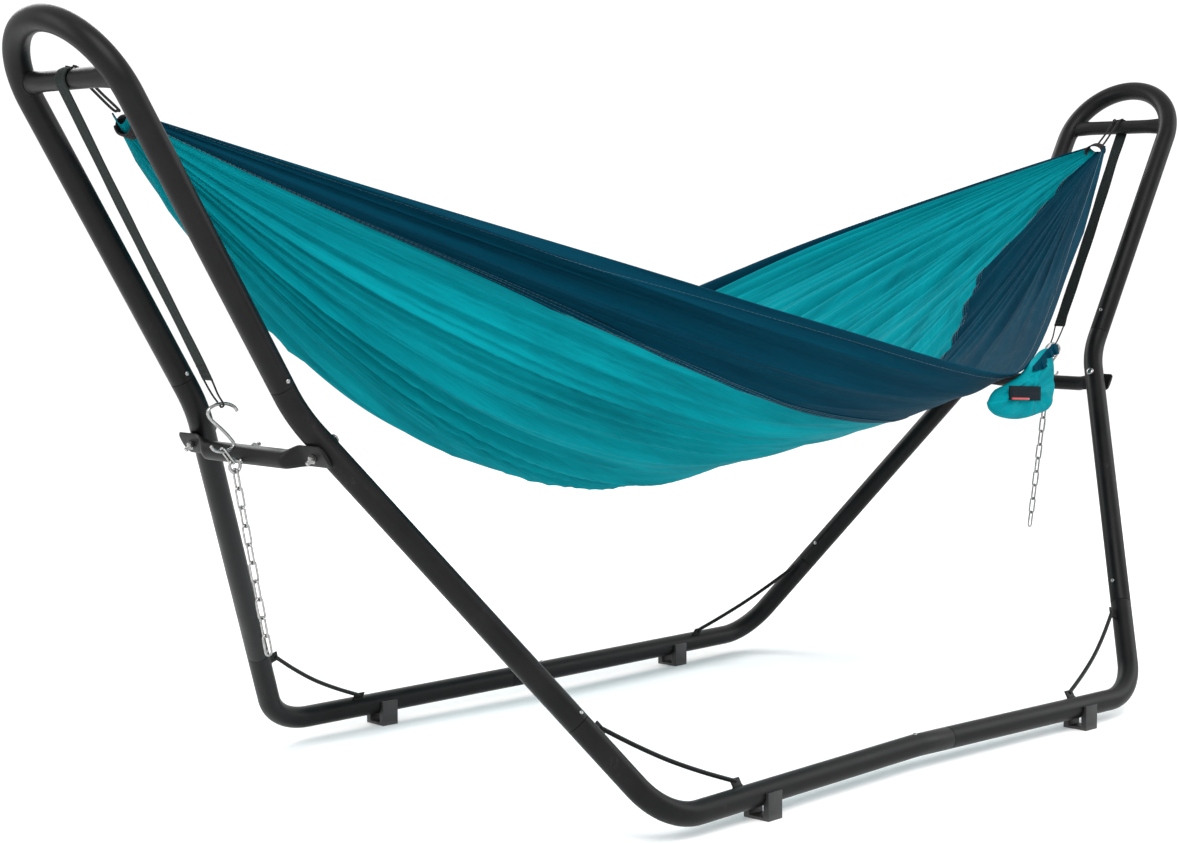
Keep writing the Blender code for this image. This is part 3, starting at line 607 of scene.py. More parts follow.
def carved(mesh, others, bevel=0.0, steps=2, sharp=35):
    """The mesh after its Booleans, given as pairs of operation and mesh, and an optional edge bevel."""
    obj = bpy.data.objects.new(mesh.name, mesh)
    bpy.context.scene.collection.objects.link(obj)
    helpers = []
    for operation, other in others:
        helper = bpy.data.objects.new(other.name, other)
        bpy.context.scene.collection.objects.link(helper)
        helpers.append(helper)
        modifier = obj.modifiers.new("cut", "BOOLEAN")
        modifier.operation = operation
        modifier.object = helper
    if bevel:
        rounder = obj.modifiers.new("round", "BEVEL")
        rounder.width = bevel
        rounder.segments = steps
        rounder.limit_method = "ANGLE"
        rounder.angle_limit = math.radians(40)
    graph = bpy.context.evaluated_depsgraph_get()
    made = bpy.data.meshes.new_from_object(obj.evaluated_get(graph))
    for helper in helpers + [obj]:
        bpy.data.objects.remove(helper, do_unlink=True)
    made.name = mesh.name
    made.shade_smooth()
    made.set_sharp_from_angle(angle=math.radians(sharp))
    return made


def joined(name, meshes, sharp=None):
    """Several meshes as one, with their UV maps kept."""
    work = bmesh.new()
    for mesh in meshes:
        work.from_mesh(mesh)
    made = bpy.data.meshes.new(name)
    work.to_mesh(made)
    work.free()
    made.shade_smooth()
    if sharp:
        made.set_sharp_from_angle(angle=math.radians(sharp))
    return made


# ---------------------------------------------------------------- stand


def leg_axis(end, side):
    return (at(BASE, end, side) - at(WAIST, end, side)).normalized()


def rail_axis(end, side):
    return (at(RAIL_MID, end, side) - at(BASE, end, side)).normalized()


def inner_face(end):
    return Vector((-end * LEAN.z, 0, LEAN.x))


def outer_face(end):
    slope = WAIST - BASE
    return Vector((end * slope.z, 0, -slope.x)).normalized()


def square_to(direction, axis):
    return (direction - axis * direction.dot(axis)).normalized()


def loop_joint_point(end, side):
    return at(WAIST, end, side) + at(LEAN, end) * LOOP_JOINT


def leg_joint_point(end, side):
    return at(BASE, end, side) - leg_axis(end, side) * LEG_JOINT


def waist_leg_point(end, side):
    return at(WAIST, end, side) + leg_axis(end, side) * WAIST_BAR_DOWN


def waist_bar_centre(end):
    leg = waist_leg_point(end, 1)
    return Vector((leg.x, 0, leg.z)) + outer_face(end) * (TUBE_R + GAP + BAR_R)


def eye_centre(end):
    return waist_bar_centre(end) + outer_face(end) * (BAR_R + EYE_BEYOND)


def top_bar_centre(end):
    return at(Vector((WAIST.x, 0, WAIST.z)), end) + at(LEAN, end) * (TOP_BAR_RISE / LEAN.z)


def loop_arc(end):
    """The rounded top of an end loop, from its near leg to its far leg."""
    lean = at(LEAN, end)
    top = at(Vector((WAIST.x, 0, WAIST.z)), end) + lean * (LOOP_RISE / LEAN.z)
    arc = []
    for i in range(LOOP_STEPS + 1):
        turn = math.pi * i / LOOP_STEPS
        arc.append(top + Vector((0, -WAIST.y * math.cos(turn), 0)) + lean * (WAIST.y * math.sin(turn)))
    return arc


def bolt_cut(spot, out):
    """The Boolean that drills a waist bolt's hole."""
    return "DIFFERENCE", rod_mesh("bolt_hole", spot - out * 0.06, spot + out * 0.06, BOLT_HOLE_R, 28)


def bore_mesh(mouth, inward):
    return rod_mesh("bore", mouth - inward * 0.01, mouth + inward * BORE_LENGTH, BORE_R, TUBE_SIDES)


def lipped(path, first, last):
    """The path and radii of a tube whose ends are sleeve lips, swaged stubs or cut square."""
    path = [p.copy() for p in path]
    radii = [TUBE_R] * len(path)
    for which in ("first", "last"):
        kind = first if which == "first" else last
        if which == "last":
            path.reverse()
            radii.reverse()
        inward = (path[1] - path[0]).normalized()
        mouth = path[0]
        if kind == "sleeve":
            path = [mouth, mouth + inward * LIP * 0.4, mouth + inward * LIP] + path[1:]
            radii = [TUBE_R - LIP, TUBE_R - LIP * 0.3, TUBE_R] + radii[1:]
        elif kind == "stub":
            shoulder = [mouth, mouth + inward * LIP * 0.3, mouth + inward * LIP]
            path = [mouth - inward * STUB_LENGTH] + shoulder + path[1:]
            radii = [STUB_R, STUB_R, TUBE_R - LIP * 0.8, TUBE_R] + radii[1:]
        if which == "last":
            path.reverse()
            radii.reverse()
    return path, radii


def button_sites():
    """Each snap button's name, its place on the tube axis and its outward direction."""
    sites = []
    for corner, end, side in CORNERS:
        low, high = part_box(f"{corner}_upper_button")
        up = at(LEAN, end)
        facing = square_to(Vector((0.1, -1, 0)) if end < 0 else inner_face(end), up)
        sites.append((f"{corner}_upper_button", (low + high) / 2, facing))
        low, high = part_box(f"{corner}_lower_button")
        facing = Vector((0.3, -1, 0.3)) if end < 0 else Vector((-end, 0, 0.2))
        sites.append((f"{corner}_lower_button", (low + high) / 2, square_to(facing, leg_axis(end, side))))
    for side_name, side in SIDES:
        low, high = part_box(f"{side_name}_rail_button")
        facing = square_to(Vector((0, 0, 1)), rail_axis(side, side))
        sites.append((f"{side_name}_rail_button", (low + high) / 2, facing))
    return sites


def make_buttons():
    """Domed zinc pins. Each rides on its own body, so that it sinks when pressed."""
    holes = []
    half = (BUTTON_PROUD + BUTTON_DEPTH) / 2
    for name, centre, facing in button_sites():
        profile = [(0, -half), (BUTTON_R, -half), (BUTTON_R, half - BUTTON_DOME)]
        for i in range(1, 6):
            angle = math.radians(90 * i / 6)
            height = half - BUTTON_DOME + BUTTON_DOME * math.sin(angle)
            profile.append((BUTTON_R * math.cos(angle) ** 0.7, height))
        profile.append((0, half))
        mesh = turned_mesh(f"pin_{name}", profile, centre, facing, 28, 60)
        shown(f"pin_{name}", mesh, "zinc", f"{name}_pin", name)
        first, last = centre - facing * (half + 0.004), centre + facing * 0.03
        cutter = rod_mesh("button_hole", first, last, BUTTON_HOLE_R, 28)
        holes.append((centre, cutter))
    return holes


def holes_near(holes, path):
    """The button holes that go through a tube with this centre line."""
    found = []
    for centre, cutter in holes:
        for one, two in zip(path, path[1:]):
            run = two - one
            if run.length < 1e-6:
                continue
            share = min(1.0, max(0.0, (centre - one).dot(run) / run.length_squared))
            if (centre - one - run * share).length < TUBE_R * 1.2:
                found.append(("DIFFERENCE", cutter.copy()))
                break
    return found


def make_tubes(holes):
    for end_name, end in ENDS:
        lean = at(LEAN, end)
        path = [loop_joint_point(end, -1)] + loop_arc(end) + [loop_joint_point(end, 1)]
        cuts = [("DIFFERENCE", bore_mesh(loop_joint_point(end, side), lean)) for _, side in SIDES]
        cuts += holes_near(holes, path)
        route, radii = lipped(path, "sleeve", "sleeve")
        mesh = carved(tube_mesh(f"tube_{end_name}_loop", route, TUBE_R, TUBE_SIDES, radii=radii), cuts)
        shown(f"tube_{end_name}_loop", mesh, "tube", "stand", f"{end_name}_end_loop")
    for corner, end, side in CORNERS:
        start, finish = loop_joint_point(end, side), leg_joint_point(end, side)
        path = filleted([start, at(WAIST, end, side), finish], WAIST_BEND_R)
        out = outer_face(end)
        spot = waist_leg_point(end, side)
        cuts = [("DIFFERENCE", bore_mesh(finish, -leg_axis(end, side))), bolt_cut(spot, out)]
        reach = [start - (path[1] - path[0]).normalized() * STUB_LENGTH] + path
        cuts += holes_near(holes, reach)
        route, radii = lipped(path, "stub", "sleeve")
        mesh = carved(tube_mesh(f"tube_{corner}_leg", route, TUBE_R, TUBE_SIDES, radii=radii), cuts)
        shown(f"tube_{corner}_leg", mesh, "tube", "stand", f"{corner}_elbow_leg")
        make_base_tube(holes, corner, end, side)


def make_base_tube(holes, corner, end, side):
    middle = at(RAIL_MID, 1, side)
    along, other = rail_axis(end, side), rail_axis(-end, side)
    start = leg_joint_point(end, side)
    path = filleted([start, at(BASE, end, side), middle], BASE_BEND_R)
    stub = start + (start - path[1]).normalized() * STUB_LENGTH
    if end == side:
        joint = middle - other * RAIL_JOINT_X
        path.append(joint)
        bore = rod_mesh("rail_bore", joint - other * 0.01, middle - other * 0.006, BORE_R, TUBE_SIDES)
        cuts = [("DIFFERENCE", bore)]
        route, radii = lipped(path, "stub", "sleeve")
    else:
        path = path[:-1] + [middle - along * RAIL_JOINT_X]
        cuts = []
        route, radii = lipped(path, "stub", "stub")
    reach = [stub] + path
    if end != side:
        reach.append(path[-1] + (path[-1] - path[-2]).normalized() * STUB_LENGTH)
    cuts += holes_near(holes, reach)
    mesh = tube_mesh(f"tube_{corner}_base", route, TUBE_R, TUBE_SIDES, radii=radii)
    mesh = carved(mesh, cuts) if cuts else mesh
    shown(f"tube_{corner}_base", mesh, "tube", "stand", f"{corner}_base_corner")


def bar_mesh(name, centre, stations, axes, sides=TUBE_SIDES):
    """A bar along Y lofted between unlike sections: place, half thickness, half height and shift."""
    thick, tall = axes
    rows, uvs = [], []
    for y, half_thick, half_tall, shift in stations:
        row = []
        for i in range(sides):
            angle = 2 * math.pi * i / sides
            offset = thick * (half_thick * math.cos(angle) + shift) + tall * (half_tall * math.sin(angle))
            row.append(list(centre + offset + Vector((0, y, 0))))
        rows.append(row)
        uvs.append([(0.1 * j / sides, y) for j in range(sides + 1)])
    return grid_mesh(name, np.array(rows), uvs, True, True)


def eased(value):
    value = min(1.0, max(0.0, value))
    return value * value * (3 - 2 * value)


def make_crossbars():
    for end_name, end in ENDS:
        lean = at(LEAN, end)
        centre = top_bar_centre(end)
        stations = []
        for i in range(49):
            y = TOP_BAR_END * (i / 24 - 1)
            flare = eased((abs(y) - BAR_FLARE_FROM) / (TOP_BAR_END - BAR_FLARE_FROM))
            tall = BAR_R + (BAR_END_HEIGHT - BAR_R) * flare
            stations.append((y, BAR_R - TOP_BAR_THINNED * flare, tall, 0.0))
        saddle = loop_arc(end)
        saddle = [saddle[0] - lean * 0.12] + saddle + [saddle[-1] - lean * 0.12]
        cutter = tube_mesh("saddle", saddle, TUBE_R - GAP, TUBE_SIDES)
        mesh = bar_mesh(f"bar_{end_name}_top", centre, stations, (inner_face(end), lean))
        mesh = carved(mesh, [("DIFFERENCE", cutter)])
        beads = weld_beads(end, centre, lean)
        mesh = joined(f"bar_{end_name}_top", [mesh] + beads, 40)
        shown(f"bar_{end_name}_top", mesh, "tube", "stand", f"{end_name}_top_crossbar")

        out = outer_face(end)
        leg = waist_leg_point(end, 1)
        middle = Vector((leg.x, 0, leg.z))
        last = leg.y + WAIST_BAR_PAST
        stations = []
        for i in range(81):
            y = last * (i / 40 - 1)
            share = eased((leg.y - BAR_PRESSED - abs(y)) / (BAR_FLAT - BAR_PRESSED))
            thin = BAR_END_HALF + (BAR_R - BAR_END_HALF) * share
            high = BAR_END_HEIGHT + 0.001 + (BAR_R - BAR_END_HEIGHT - 0.001) * share
            trim = min(1.0, (last - abs(y)) / 0.006)
            high *= 0.80 + 0.20 * math.sqrt(max(0.0, 1 - (1 - trim) ** 2))
            stations.append((y, thin, high, TUBE_R + GAP + thin))
        mesh = bar_mesh(f"bar_{end_name}_waist", middle, stations, (out, Vector((-out.z, 0, out.x))))
        cuts = [bolt_cut(waist_leg_point(end, side), out) for _, side in SIDES]
        eye_hole = rod_mesh("eye_hole", middle - out * 0.02, middle + out * 0.08, BOLT_HOLE_R, 28)
        cuts.append(("DIFFERENCE", eye_hole))
        mesh = carved(mesh, cuts)
        shown(f"bar_{end_name}_waist", mesh, "tube", "stand", f"{end_name}_waist_crossbar")


def weld_beads(end, centre, lean):
    """The low ripple of weld where each end of a top crossbar meets the loop."""
    beads = []
    inner = inner_face(end)
    for _, side in SIDES:
        path, radii = [], []
        for i in range(96):
            angle = 2 * math.pi * i / 96
            tall, thick = math.sin(angle), math.cos(angle)
            rise = TOP_BAR_RISE / LEAN.z + tall * BAR_END_HEIGHT - LOOP_RISE / LEAN.z
            reach = WAIST.y if rise < 0 else math.sqrt(max(0.0, WAIST.y**2 - rise**2))
            depth = math.sqrt(TUBE_R**2 - (thick * (BAR_R - TOP_BAR_THINNED)) ** 2)
            y = (reach - depth) * side
            bead = lean * (tall * (BAR_END_HEIGHT + 0.0002))
            path.append(centre + bead + inner * (thick * (BAR_R - 0.0028)) + Vector((0, y, 0)))
            radii.append(0.0019 + 0.0003 * math.sin(9.0 * i))
        beads.append(tube_mesh("bead", path, 0.0019, 10, closed=True, radii=radii))
    return beads


def make_fixings():
    for corner, end, side in CORNERS:
        out = outer_face(end)
        spot = waist_leg_point(end, side)
        seat = -(TUBE_R + GAP)
        tip = TUBE_R + GAP + 2 * BAR_END_HALF + GAP + NUT_H + BOLT_TIP
        profile = [(0, seat - BOLT_HEAD_H)]
        for i in range(1, 9):
            angle = math.radians(90 * i / 8)
            height = seat - 0.0010 - (BOLT_HEAD_H - 0.0010) * math.cos(angle)
            profile.append((BOLT_HEAD_R * math.sin(angle), height))
        profile += [(BOLT_HEAD_R, seat), (BOLT_R, seat), (BOLT_R, tip - NUT_H - BOLT_TIP)]
        profile += threads(tip - NUT_H - BOLT_TIP, tip - 0.0008) + [(BOLT_R * 0.72, tip), (0, tip)]
        mesh = turned_mesh(f"bolt_{corner}", profile, spot, out, 36, 28)
        shown(f"bolt_{corner}", mesh, "zinc", "stand", f"{corner}_waist_bolt")
        face = spot + out * (TUBE_R + 2 * GAP + 2 * BAR_END_HALF)
        mesh = nut_mesh(f"nut_{corner}", face, out)
        shown(f"nut_{corner}", mesh, "zinc", "stand", f"{corner}_waist_nut")
    for end_name, end in ENDS:
        out = outer_face(end)
        bar, middle = waist_bar_centre(end), eye_centre(end)
        up = out.cross(Vector((0, 1, 0)))
        ring = []
        for i in range(56):
            angle = 2 * math.pi * i / 56
            ring.append(middle + (out * math.cos(angle) + up * math.sin(angle)) * EYE_R)
        reach = (BAR_R + NUT_H + EYE_TAIL + BAR_R + EYE_BEYOND) - EYE_R + 0.001
        profile = [(0, 0), (BOLT_R * 0.75, 0)] + threads(0.0008, NUT_H + EYE_TAIL + 0.004)
        profile += [(BOLT_R, NUT_H + EYE_TAIL + 0.005), (BOLT_R, reach - 0.003)]
        profile += [(BOLT_R * 0.8, reach), (0, reach)]
        shank = turned_mesh("shank", profile, bar - out * (BAR_R + NUT_H + EYE_TAIL), out, 36, 28)
        eye = tube_mesh(f"eye_{end_name}", ring, EYE_WIRE_R, 20, closed=True)
        mesh = carved(eye, [("UNION", shank)], sharp=28)
        shown(f"eye_{end_name}", mesh, "zinc", "stand", f"{end_name}_eye_bolt")
        mesh = nut_mesh(f"eye_nut_{end_name}", bar - out * (BAR_R + GAP), -out)
        shown(f"eye_nut_{end_name}", mesh, "zinc", "stand", f"{end_name}_eye_nut")


def threads(start, stop):
    """Profile points of a thread's ridges between two heights."""
    count = int((stop - start) / THREAD_PITCH)
    points = []
    for i in range(count):
        low = start + i * THREAD_PITCH
        points += [(BOLT_R - 0.0001, low + THREAD_PITCH * 0.15), (BOLT_R - 0.0005, low + THREAD_PITCH * 0.6)]
    return points + [(BOLT_R - 0.0001, stop)]


def nut_mesh(name, face, axis):
    """A hex nut with chamfered corners and a clear bore."""
    hexagon = turned_mesh("hexagon", [(0, 0), (NUT_R, 0), (NUT_R, NUT_H), (0, NUT_H)], face, axis, 6)
    profile = [(0, 0), (NUT_R - 0.0011, 0), (NUT_R + 0.0002, 0.0008), (NUT_R + 0.0002, NUT_H - 0.0008)]
    profile += [(NUT_R - 0.0011, NUT_H), (0, NUT_H)]
    chamfer = turned_mesh("chamfer", profile, face, axis, 48)
    bore = rod_mesh("nut_bore", face - axis * 0.01, face + axis * 0.02, BOLT_HOLE_R - 0.0004, 32)
    return carved(hexagon, [("INTERSECT", chamfer), ("DIFFERENCE", bore)], sharp=25)


def make_hooks_and_chains():
    outline = [(24, 25), (19, 33), (8, 38.5), (-6, 38.5), (-17, 33), (-20, 24), (-14, 13)]
    outline += [(0, -2), (12, -17), (18, -28), (12, -36), (1, -38.5), (-11, -35), (-17, -27)]
    for end_name, end in ENDS:
        centre = at(Vector((HOOK_X, 0, HOOK_Z)), end)
        points = [centre + Vector((-end * h * HOOK_WIDEN / 1000, 0, v / 1000)) for h, v in outline]
        path = smooth(points, 9)
        count = len(path)
        to_tip = [min(i, count - 1 - i) for i in range(count)]
        radii = [HOOK_WIRE_R * min(1.0, 0.35 + 0.9 * math.sqrt(i / 4.0)) for i in to_tip]
        mesh = tube_mesh(f"hook_{end_name}", path, HOOK_WIRE_R, 24, radii=radii, sharp=70)
        shown(f"hook_{end_name}", mesh, "zinc", "stand", f"{end_name}_hook")

        clear = HOOK_WIRE_R + LINK_WIRE_R + GAP
        upper = at(Vector((HOOK_X, 0, HOOK_Z - HOOK_HALF + clear)), end)
        eye = eye_centre(end)
        lower = eye + (upper - eye).normalized() * (EYE_R - EYE_WIRE_R - LINK_WIRE_R - GAP)
        mesh = link_mesh(f"anchor_{end_name}", lower, upper, Vector((0, 1, 0)))
        shown(f"anchor_{end_name}", mesh, "zinc", "stand", f"{end_name}_anchor_link")

        along = Vector((-end * math.sin(CHAIN_LEAN), 0, -math.cos(CHAIN_LEAN)))
        flat = Vector((0, 1, 0))
        pivot = eye - Vector((0, 0, EYE_R - EYE_WIRE_R - LINK_WIRE_R - GAP))
        links = []
        for i in range(LINKS):
            first = pivot + along * LINK_STEP * i
            last = first + along * (LINK_STEP + 2 * LINK_WIRE_R + 0.0001)
            links.append(link_mesh("link", first, last, along.cross(flat) if i % 2 else flat))
        mesh = joined(f"chain_{end_name}", links, 60)
        shown(f"chain_{end_name}", mesh, "zinc", f"{end_name}_chain", f"{end_name}_chain_tail")


def link_mesh(name, first, last, across):
    """One oval link of round wire, with the small weld bulge that closes it."""
    centre = (first + last) / 2
    along = (last - first).normalized()
    half = (last - first).length / 2 - LINK_HALF_WIDTH
    path, radii = [], []
    for sign in (1, -1):
        for i in range(13):
            angle = math.pi * i / 12
            swing = across * math.cos(angle) + along * math.sin(angle)
            path.append(centre + (along * half + swing * LINK_HALF_WIDTH) * sign)
            radii.append(LINK_WIRE_R)
        for i in range(1, 6):
            share = i / 6
            path.append(centre + (along * half * (1 - 2 * share) - across * LINK_HALF_WIDTH) * sign)
            bulge = math.exp(-(((share - 0.5) / 0.13) ** 2)) if sign > 0 else 0
            radii.append(LINK_WIRE_R * (1 + 0.16 * bulge))
    return tube_mesh(name, path, LINK_WIRE_R, 14, closed=True, radii=radii, sharp=70)


def make_feet_and_braces():
    for corner, end, side in CORNERS:
        along = rail_axis(end, side)
        spot = at(BASE, end, side) + along * FOOT_FROM_CORNER[corner]
        level = Vector((along.x, along.y, 0)).normalized()
        turn = Matrix((level, Vector((0, 0, 1)).cross(level), Vector((0, 0, 1)))).transposed()
        middle = Vector((spot.x, spot.y, FOOT_TOP / 2))
        block = box_mesh(f"foot_{corner}", middle, (FOOT_LENGTH, FOOT_WIDTH, FOOT_TOP), turn)
        seat = rod_mesh("seat", spot - along * 0.05, spot + along * 0.05, TUBE_R + 0.0001, 64)
        slot_middle = Vector((spot.x, spot.y, (FOOT_FLOOR + RAIL_Z) / 2))
        slot = box_mesh("slot", slot_middle, (0.1, 2 * FOOT_GAP_HALF, RAIL_Z - FOOT_FLOOR), turn)
        mesh = carved(block, [("DIFFERENCE", seat), ("DIFFERENCE", slot)], bevel=0.0012, steps=3)
        shown(f"foot_{corner}", mesh, "plastic", "stand", f"{corner}_foot")

        corner_point = at(BASE, end, side)
        down = leg_axis(end, side)
        from_leg, from_rail = square_to(along, down), square_to(-down, along)
        normal = down.cross(along).normalized()
        on_leg, on_rail = corner_point - down * BRACE_ON_LEG, corner_point + along * BRACE_ON_RAIL
        first = on_leg + from_leg * (TUBE_R + TAB_HEIGHT * 0.62)
        last = on_rail + from_rail * (TUBE_R + TAB_HEIGHT * 0.62)
        bow = (corner_point - (first + last) / 2).normalized() * BRACE_BOW
        points = [first, first.lerp(last, 0.25) + bow * 0.7, first.lerp(last, 0.5) + bow]
        points += [first.lerp(last, 0.75) + bow * 0.7, last]
        unions = []
        for base, away, axis in ((on_leg, from_leg, down), (on_rail, from_rail, along)):
            tab_turn = Matrix((axis, normal, axis.cross(normal))).transposed()
            centre = base + away * (TUBE_R + TAB_HEIGHT / 2 - 0.0006)
            tab = box_mesh("tab", centre, (TAB_LENGTH, TAB_T, TAB_HEIGHT), tab_turn, 0.0013, 3)
            foot = centre - away * (TAB_HEIGHT / 2 - 0.0008)
            reach = axis * TAB_LENGTH * 0.47
            unions += [("UNION", tab), ("UNION", rod_mesh("bead", foot - reach, foot + reach, 0.0028, 16))]
        mesh = carved(tube_mesh(f"brace_{corner}", smooth(points, 8), BRACE_R, 20), unions)
        shown(f"brace_{corner}", mesh, "tube", "stand", f"{corner}_brace")


# ---------------------------------------------------------------- straps, cords and ropes


def strap_path(end):
    """The strap's middle line, from its foot up and over the top crossbar."""
    lean = at(LEAN, end)
    centre = top_bar_centre(end)
    away = -inner_face(end)
    radius = BAR_R + GAP + STRAP_T / 2
    foot = at(STRAP_FOOT, end)
    tangent = centre + (away * math.cos(math.radians(-4)) + lean * math.sin(math.radians(-4))) * radius
    path = [foot.lerp(tangent, i / STRAP_STEPS) for i in range(STRAP_STEPS)]
    for i in range(25):
        angle = math.radians(-4 + (STRAP_WRAP + 4) * i / 24)
        path.append(centre + (away * math.cos(angle) + lean * math.sin(angle)) * radius)
    return path


def make_straps():
    """Flat tubular webbing: two woven faces with a rolled edge, bar tacks at the foot."""
    for end_name, end in ENDS:
        path = strap_path(end)
        count = len(path)
        rows, uvs, along = [], [], 0.0
        for i, point in enumerate(path):
            ahead = (path[min(i + 1, count - 1)] - path[max(i - 1, 0)]).normalized()
            out = ahead.cross(Vector((0, 1, 0))).normalized()
            if i:
                along += (point - path[i - 1]).length
            straight = eased(along / 0.03) * eased((0.50 - along) / 0.05)
            width = STRAP_HALF * (1 - 0.07 * math.sin(along * 23.0 + end) ** 2 * straight)
            sway = 0.0012 * math.sin(along * 11.0 + 2 * end) * straight
            bulk = STRAP_T / 2 * (1.0 - 0.12 * straight)
            row, row_uv = [], []
            for j in range(28):
                angle = 2 * math.pi * j / 28
                side, face = math.cos(angle), math.sin(angle)
                flat = math.copysign(abs(face) ** 0.55, face)
                crown = 0.55 + 0.45 * math.cos(side * math.pi * 1.5) ** 2
                ripple = 0.25 * math.sin(along * 160 + side * 2.2) * straight
                lift = out * (flat * bulk * (crown + ripple * 0.2))
                row.append(list(point + Vector((0, side * width + sway, 0)) + lift))
                row_uv.append((STRAP_HALF + side * STRAP_HALF, along))
            rows.append(row)
            uvs.append(row_uv + [row_uv[0]])
        mesh = grid_mesh(f"strap_{end_name}", np.array(rows), uvs, True, True)
        shown(f"strap_{end_name}", mesh, "webbing", "stand", f"{end_name}_strap")
        tacks = []
        for start in (0.006, 0.016, 0.026):
            for face in (1, -1):
                tacks.append(tack_mesh(path, start, face))
        mesh = joined(f"strap_tacks_{end_name}", tacks, 60)
        shown(f"strap_tacks_{end_name}", mesh, "thread", "stand")


def tack_mesh(path, start, face):
    """A dense zigzag of thread across the strap at a distance from its foot."""
    axis = (path[1] - path[0]).normalized()
    out = axis.cross(Vector((0, 1, 0))).normalized() * face
    points = []
    for i in range(27):
        across = STRAP_HALF * 0.80 * (i / 13 - 1)
        points.append(path[0] + axis * (start + 0.0016 * (1 if i % 2 else -1)) + Vector((0, across, 0))
                      + out * (STRAP_T / 2 - 0.0001))
    return tube_mesh("tack", points, 0.00045, 6)


def make_cords():
    """The cord loops under the straps, and the ropes from the crossbars to the fabric."""
    for end_name, end in ENDS:
        foot = at(STRAP_FOOT, end)
        line = strap_path(end)
        down = (line[0] - line[1]).normalized()
        start = foot + down * CORD_CLEAR
        low = at(Vector((HOOK_X, 0, HOOK_Z + HOOK_HALF - HOOK_WIRE_R - CORD_R - 0.0006)), end)
        inside = foot - down * 0.012
        points = [inside + Vector((0, -0.0105, 0)), start + Vector((0, -0.011, 0))]
        points += [start.lerp(low, 0.5) + Vector((0, -0.0085, 0)), low + Vector((0, -0.0065, 0.005)), low]
        points += [low + Vector((0, 0.0065, 0.005)), start.lerp(low, 0.5) + Vector((0, 0.0085, 0))]
        points += [start + Vector((0, 0.011, 0)), inside + Vector((0, 0.0105, 0))]
        mesh = tube_mesh(f"cord_{end_name}", smooth(points, 10), CORD_R, 14, sharp=80)
        shown(f"cord_{end_name}", mesh, "braid", "stand", f"{end_name}_cord_loop")

        lean = at(LEAN, end)
        centre = top_bar_centre(end)
        away = -inner_face(end)
        radius = BAR_R + 2 * GAP + ROPE_R
        gather = at(GATHER, end)
        strand = []
        for i in range(4):
            angle = math.radians(STRAP_WRAP + 2 + 15 * i)
            strand.append(centre + (away * math.cos(angle) + lean * math.sin(angle)) * radius)
        strand.append(strand[-1].lerp(gather, 0.5) - Vector((0, 0, 0.0015)))
        strand = [p + Vector((0, 0.011 - 0.0010 * i, 0)) for i, p in enumerate(strand)]
        turn = gather + (gather - centre).normalized() * 0.004
        mirrored = [Vector((p.x, -p.y, p.z)) for p in strand]
        through = [gather + Vector((0, -0.0075, 0)), turn, gather + Vector((0, 0.0075, 0))]
        points = mirrored + through + strand[::-1]
        mesh = tube_mesh(f"rope_{end_name}", smooth(points, 8), ROPE_R, 16, sharp=80)
        rope = shown(f"rope_{end_name}", mesh, "braid", None, f"{end_name}_rope")
        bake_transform(rope)


# ---------------------------------------------------------------- hammock fabric

# Flat sizes: the cloth's length from gather to gather and each panel's girth at the middle
FLAT_LENGTH = 3.15
NEAR_WIDTH = 0.26
CENTRE_WIDTH = 1.10
FAR_WIDTH = 0.08
CLOTH_T = 0.0008
SEAM_HALF = 0.009
STITCH_APART = 0.0062
HEM = 0.024
HEM_STITCH = 0.0215
TRIM_T = 0.0010
STITCH_PITCH = 0.0085
STITCH_GAP = 0.0016
STITCH_R = 0.00040
WHIPPING_R = 0.0017
COLUMNS_PER_HALF = 190


def share_of(x):
    full = math.hypot(GATHER.x, MIDDLE_EASE) - MIDDLE_EASE
    return (np.hypot(x, MIDDLE_EASE) - MIDDLE_EASE) / full


def waves(seed, count, low, high):
    """A smooth random function of one or two variables: a fixed sum of sines."""
    rng = np.random.default_rng(seed)
    rates = rng.uniform(low, high, (count, 2)) * rng.choice((-1, 1), (count, 2))
    shifts = rng.uniform(0, 2 * math.pi, count)

    def value(a, b):
        total = np.zeros(np.broadcast(a, b).shape)
        for (rate_a, rate_b), shift in zip(rates, shifts):
            total = total + np.sin(rate_a * a + rate_b * b + shift)
        return total / math.sqrt(count)

    return value


DRIFT = waves(3, 4, 1.0, 3.2)
PATCHES = waves(8, 5, 2.0, 5.5)
FINE_PATCHES = waves(21, 6, 3.0, 9.0)
PULLS = waves(34, 5, 1.5, 4.5)

# Pleats in three sizes: how many across, the share of the length where they start, and their slope
PLEATS = ((9, 0.0, 1.35, 0.9), (23, 0.02, 3.40, 2.1), (47, 0.12, 4.20, 4.4))


def pleat(phase):
    """Rounded ridges with narrow valleys, from -1 to 1."""
    return 2 * np.abs(np.cos(math.pi * phase)) ** 0.75 - 1.15


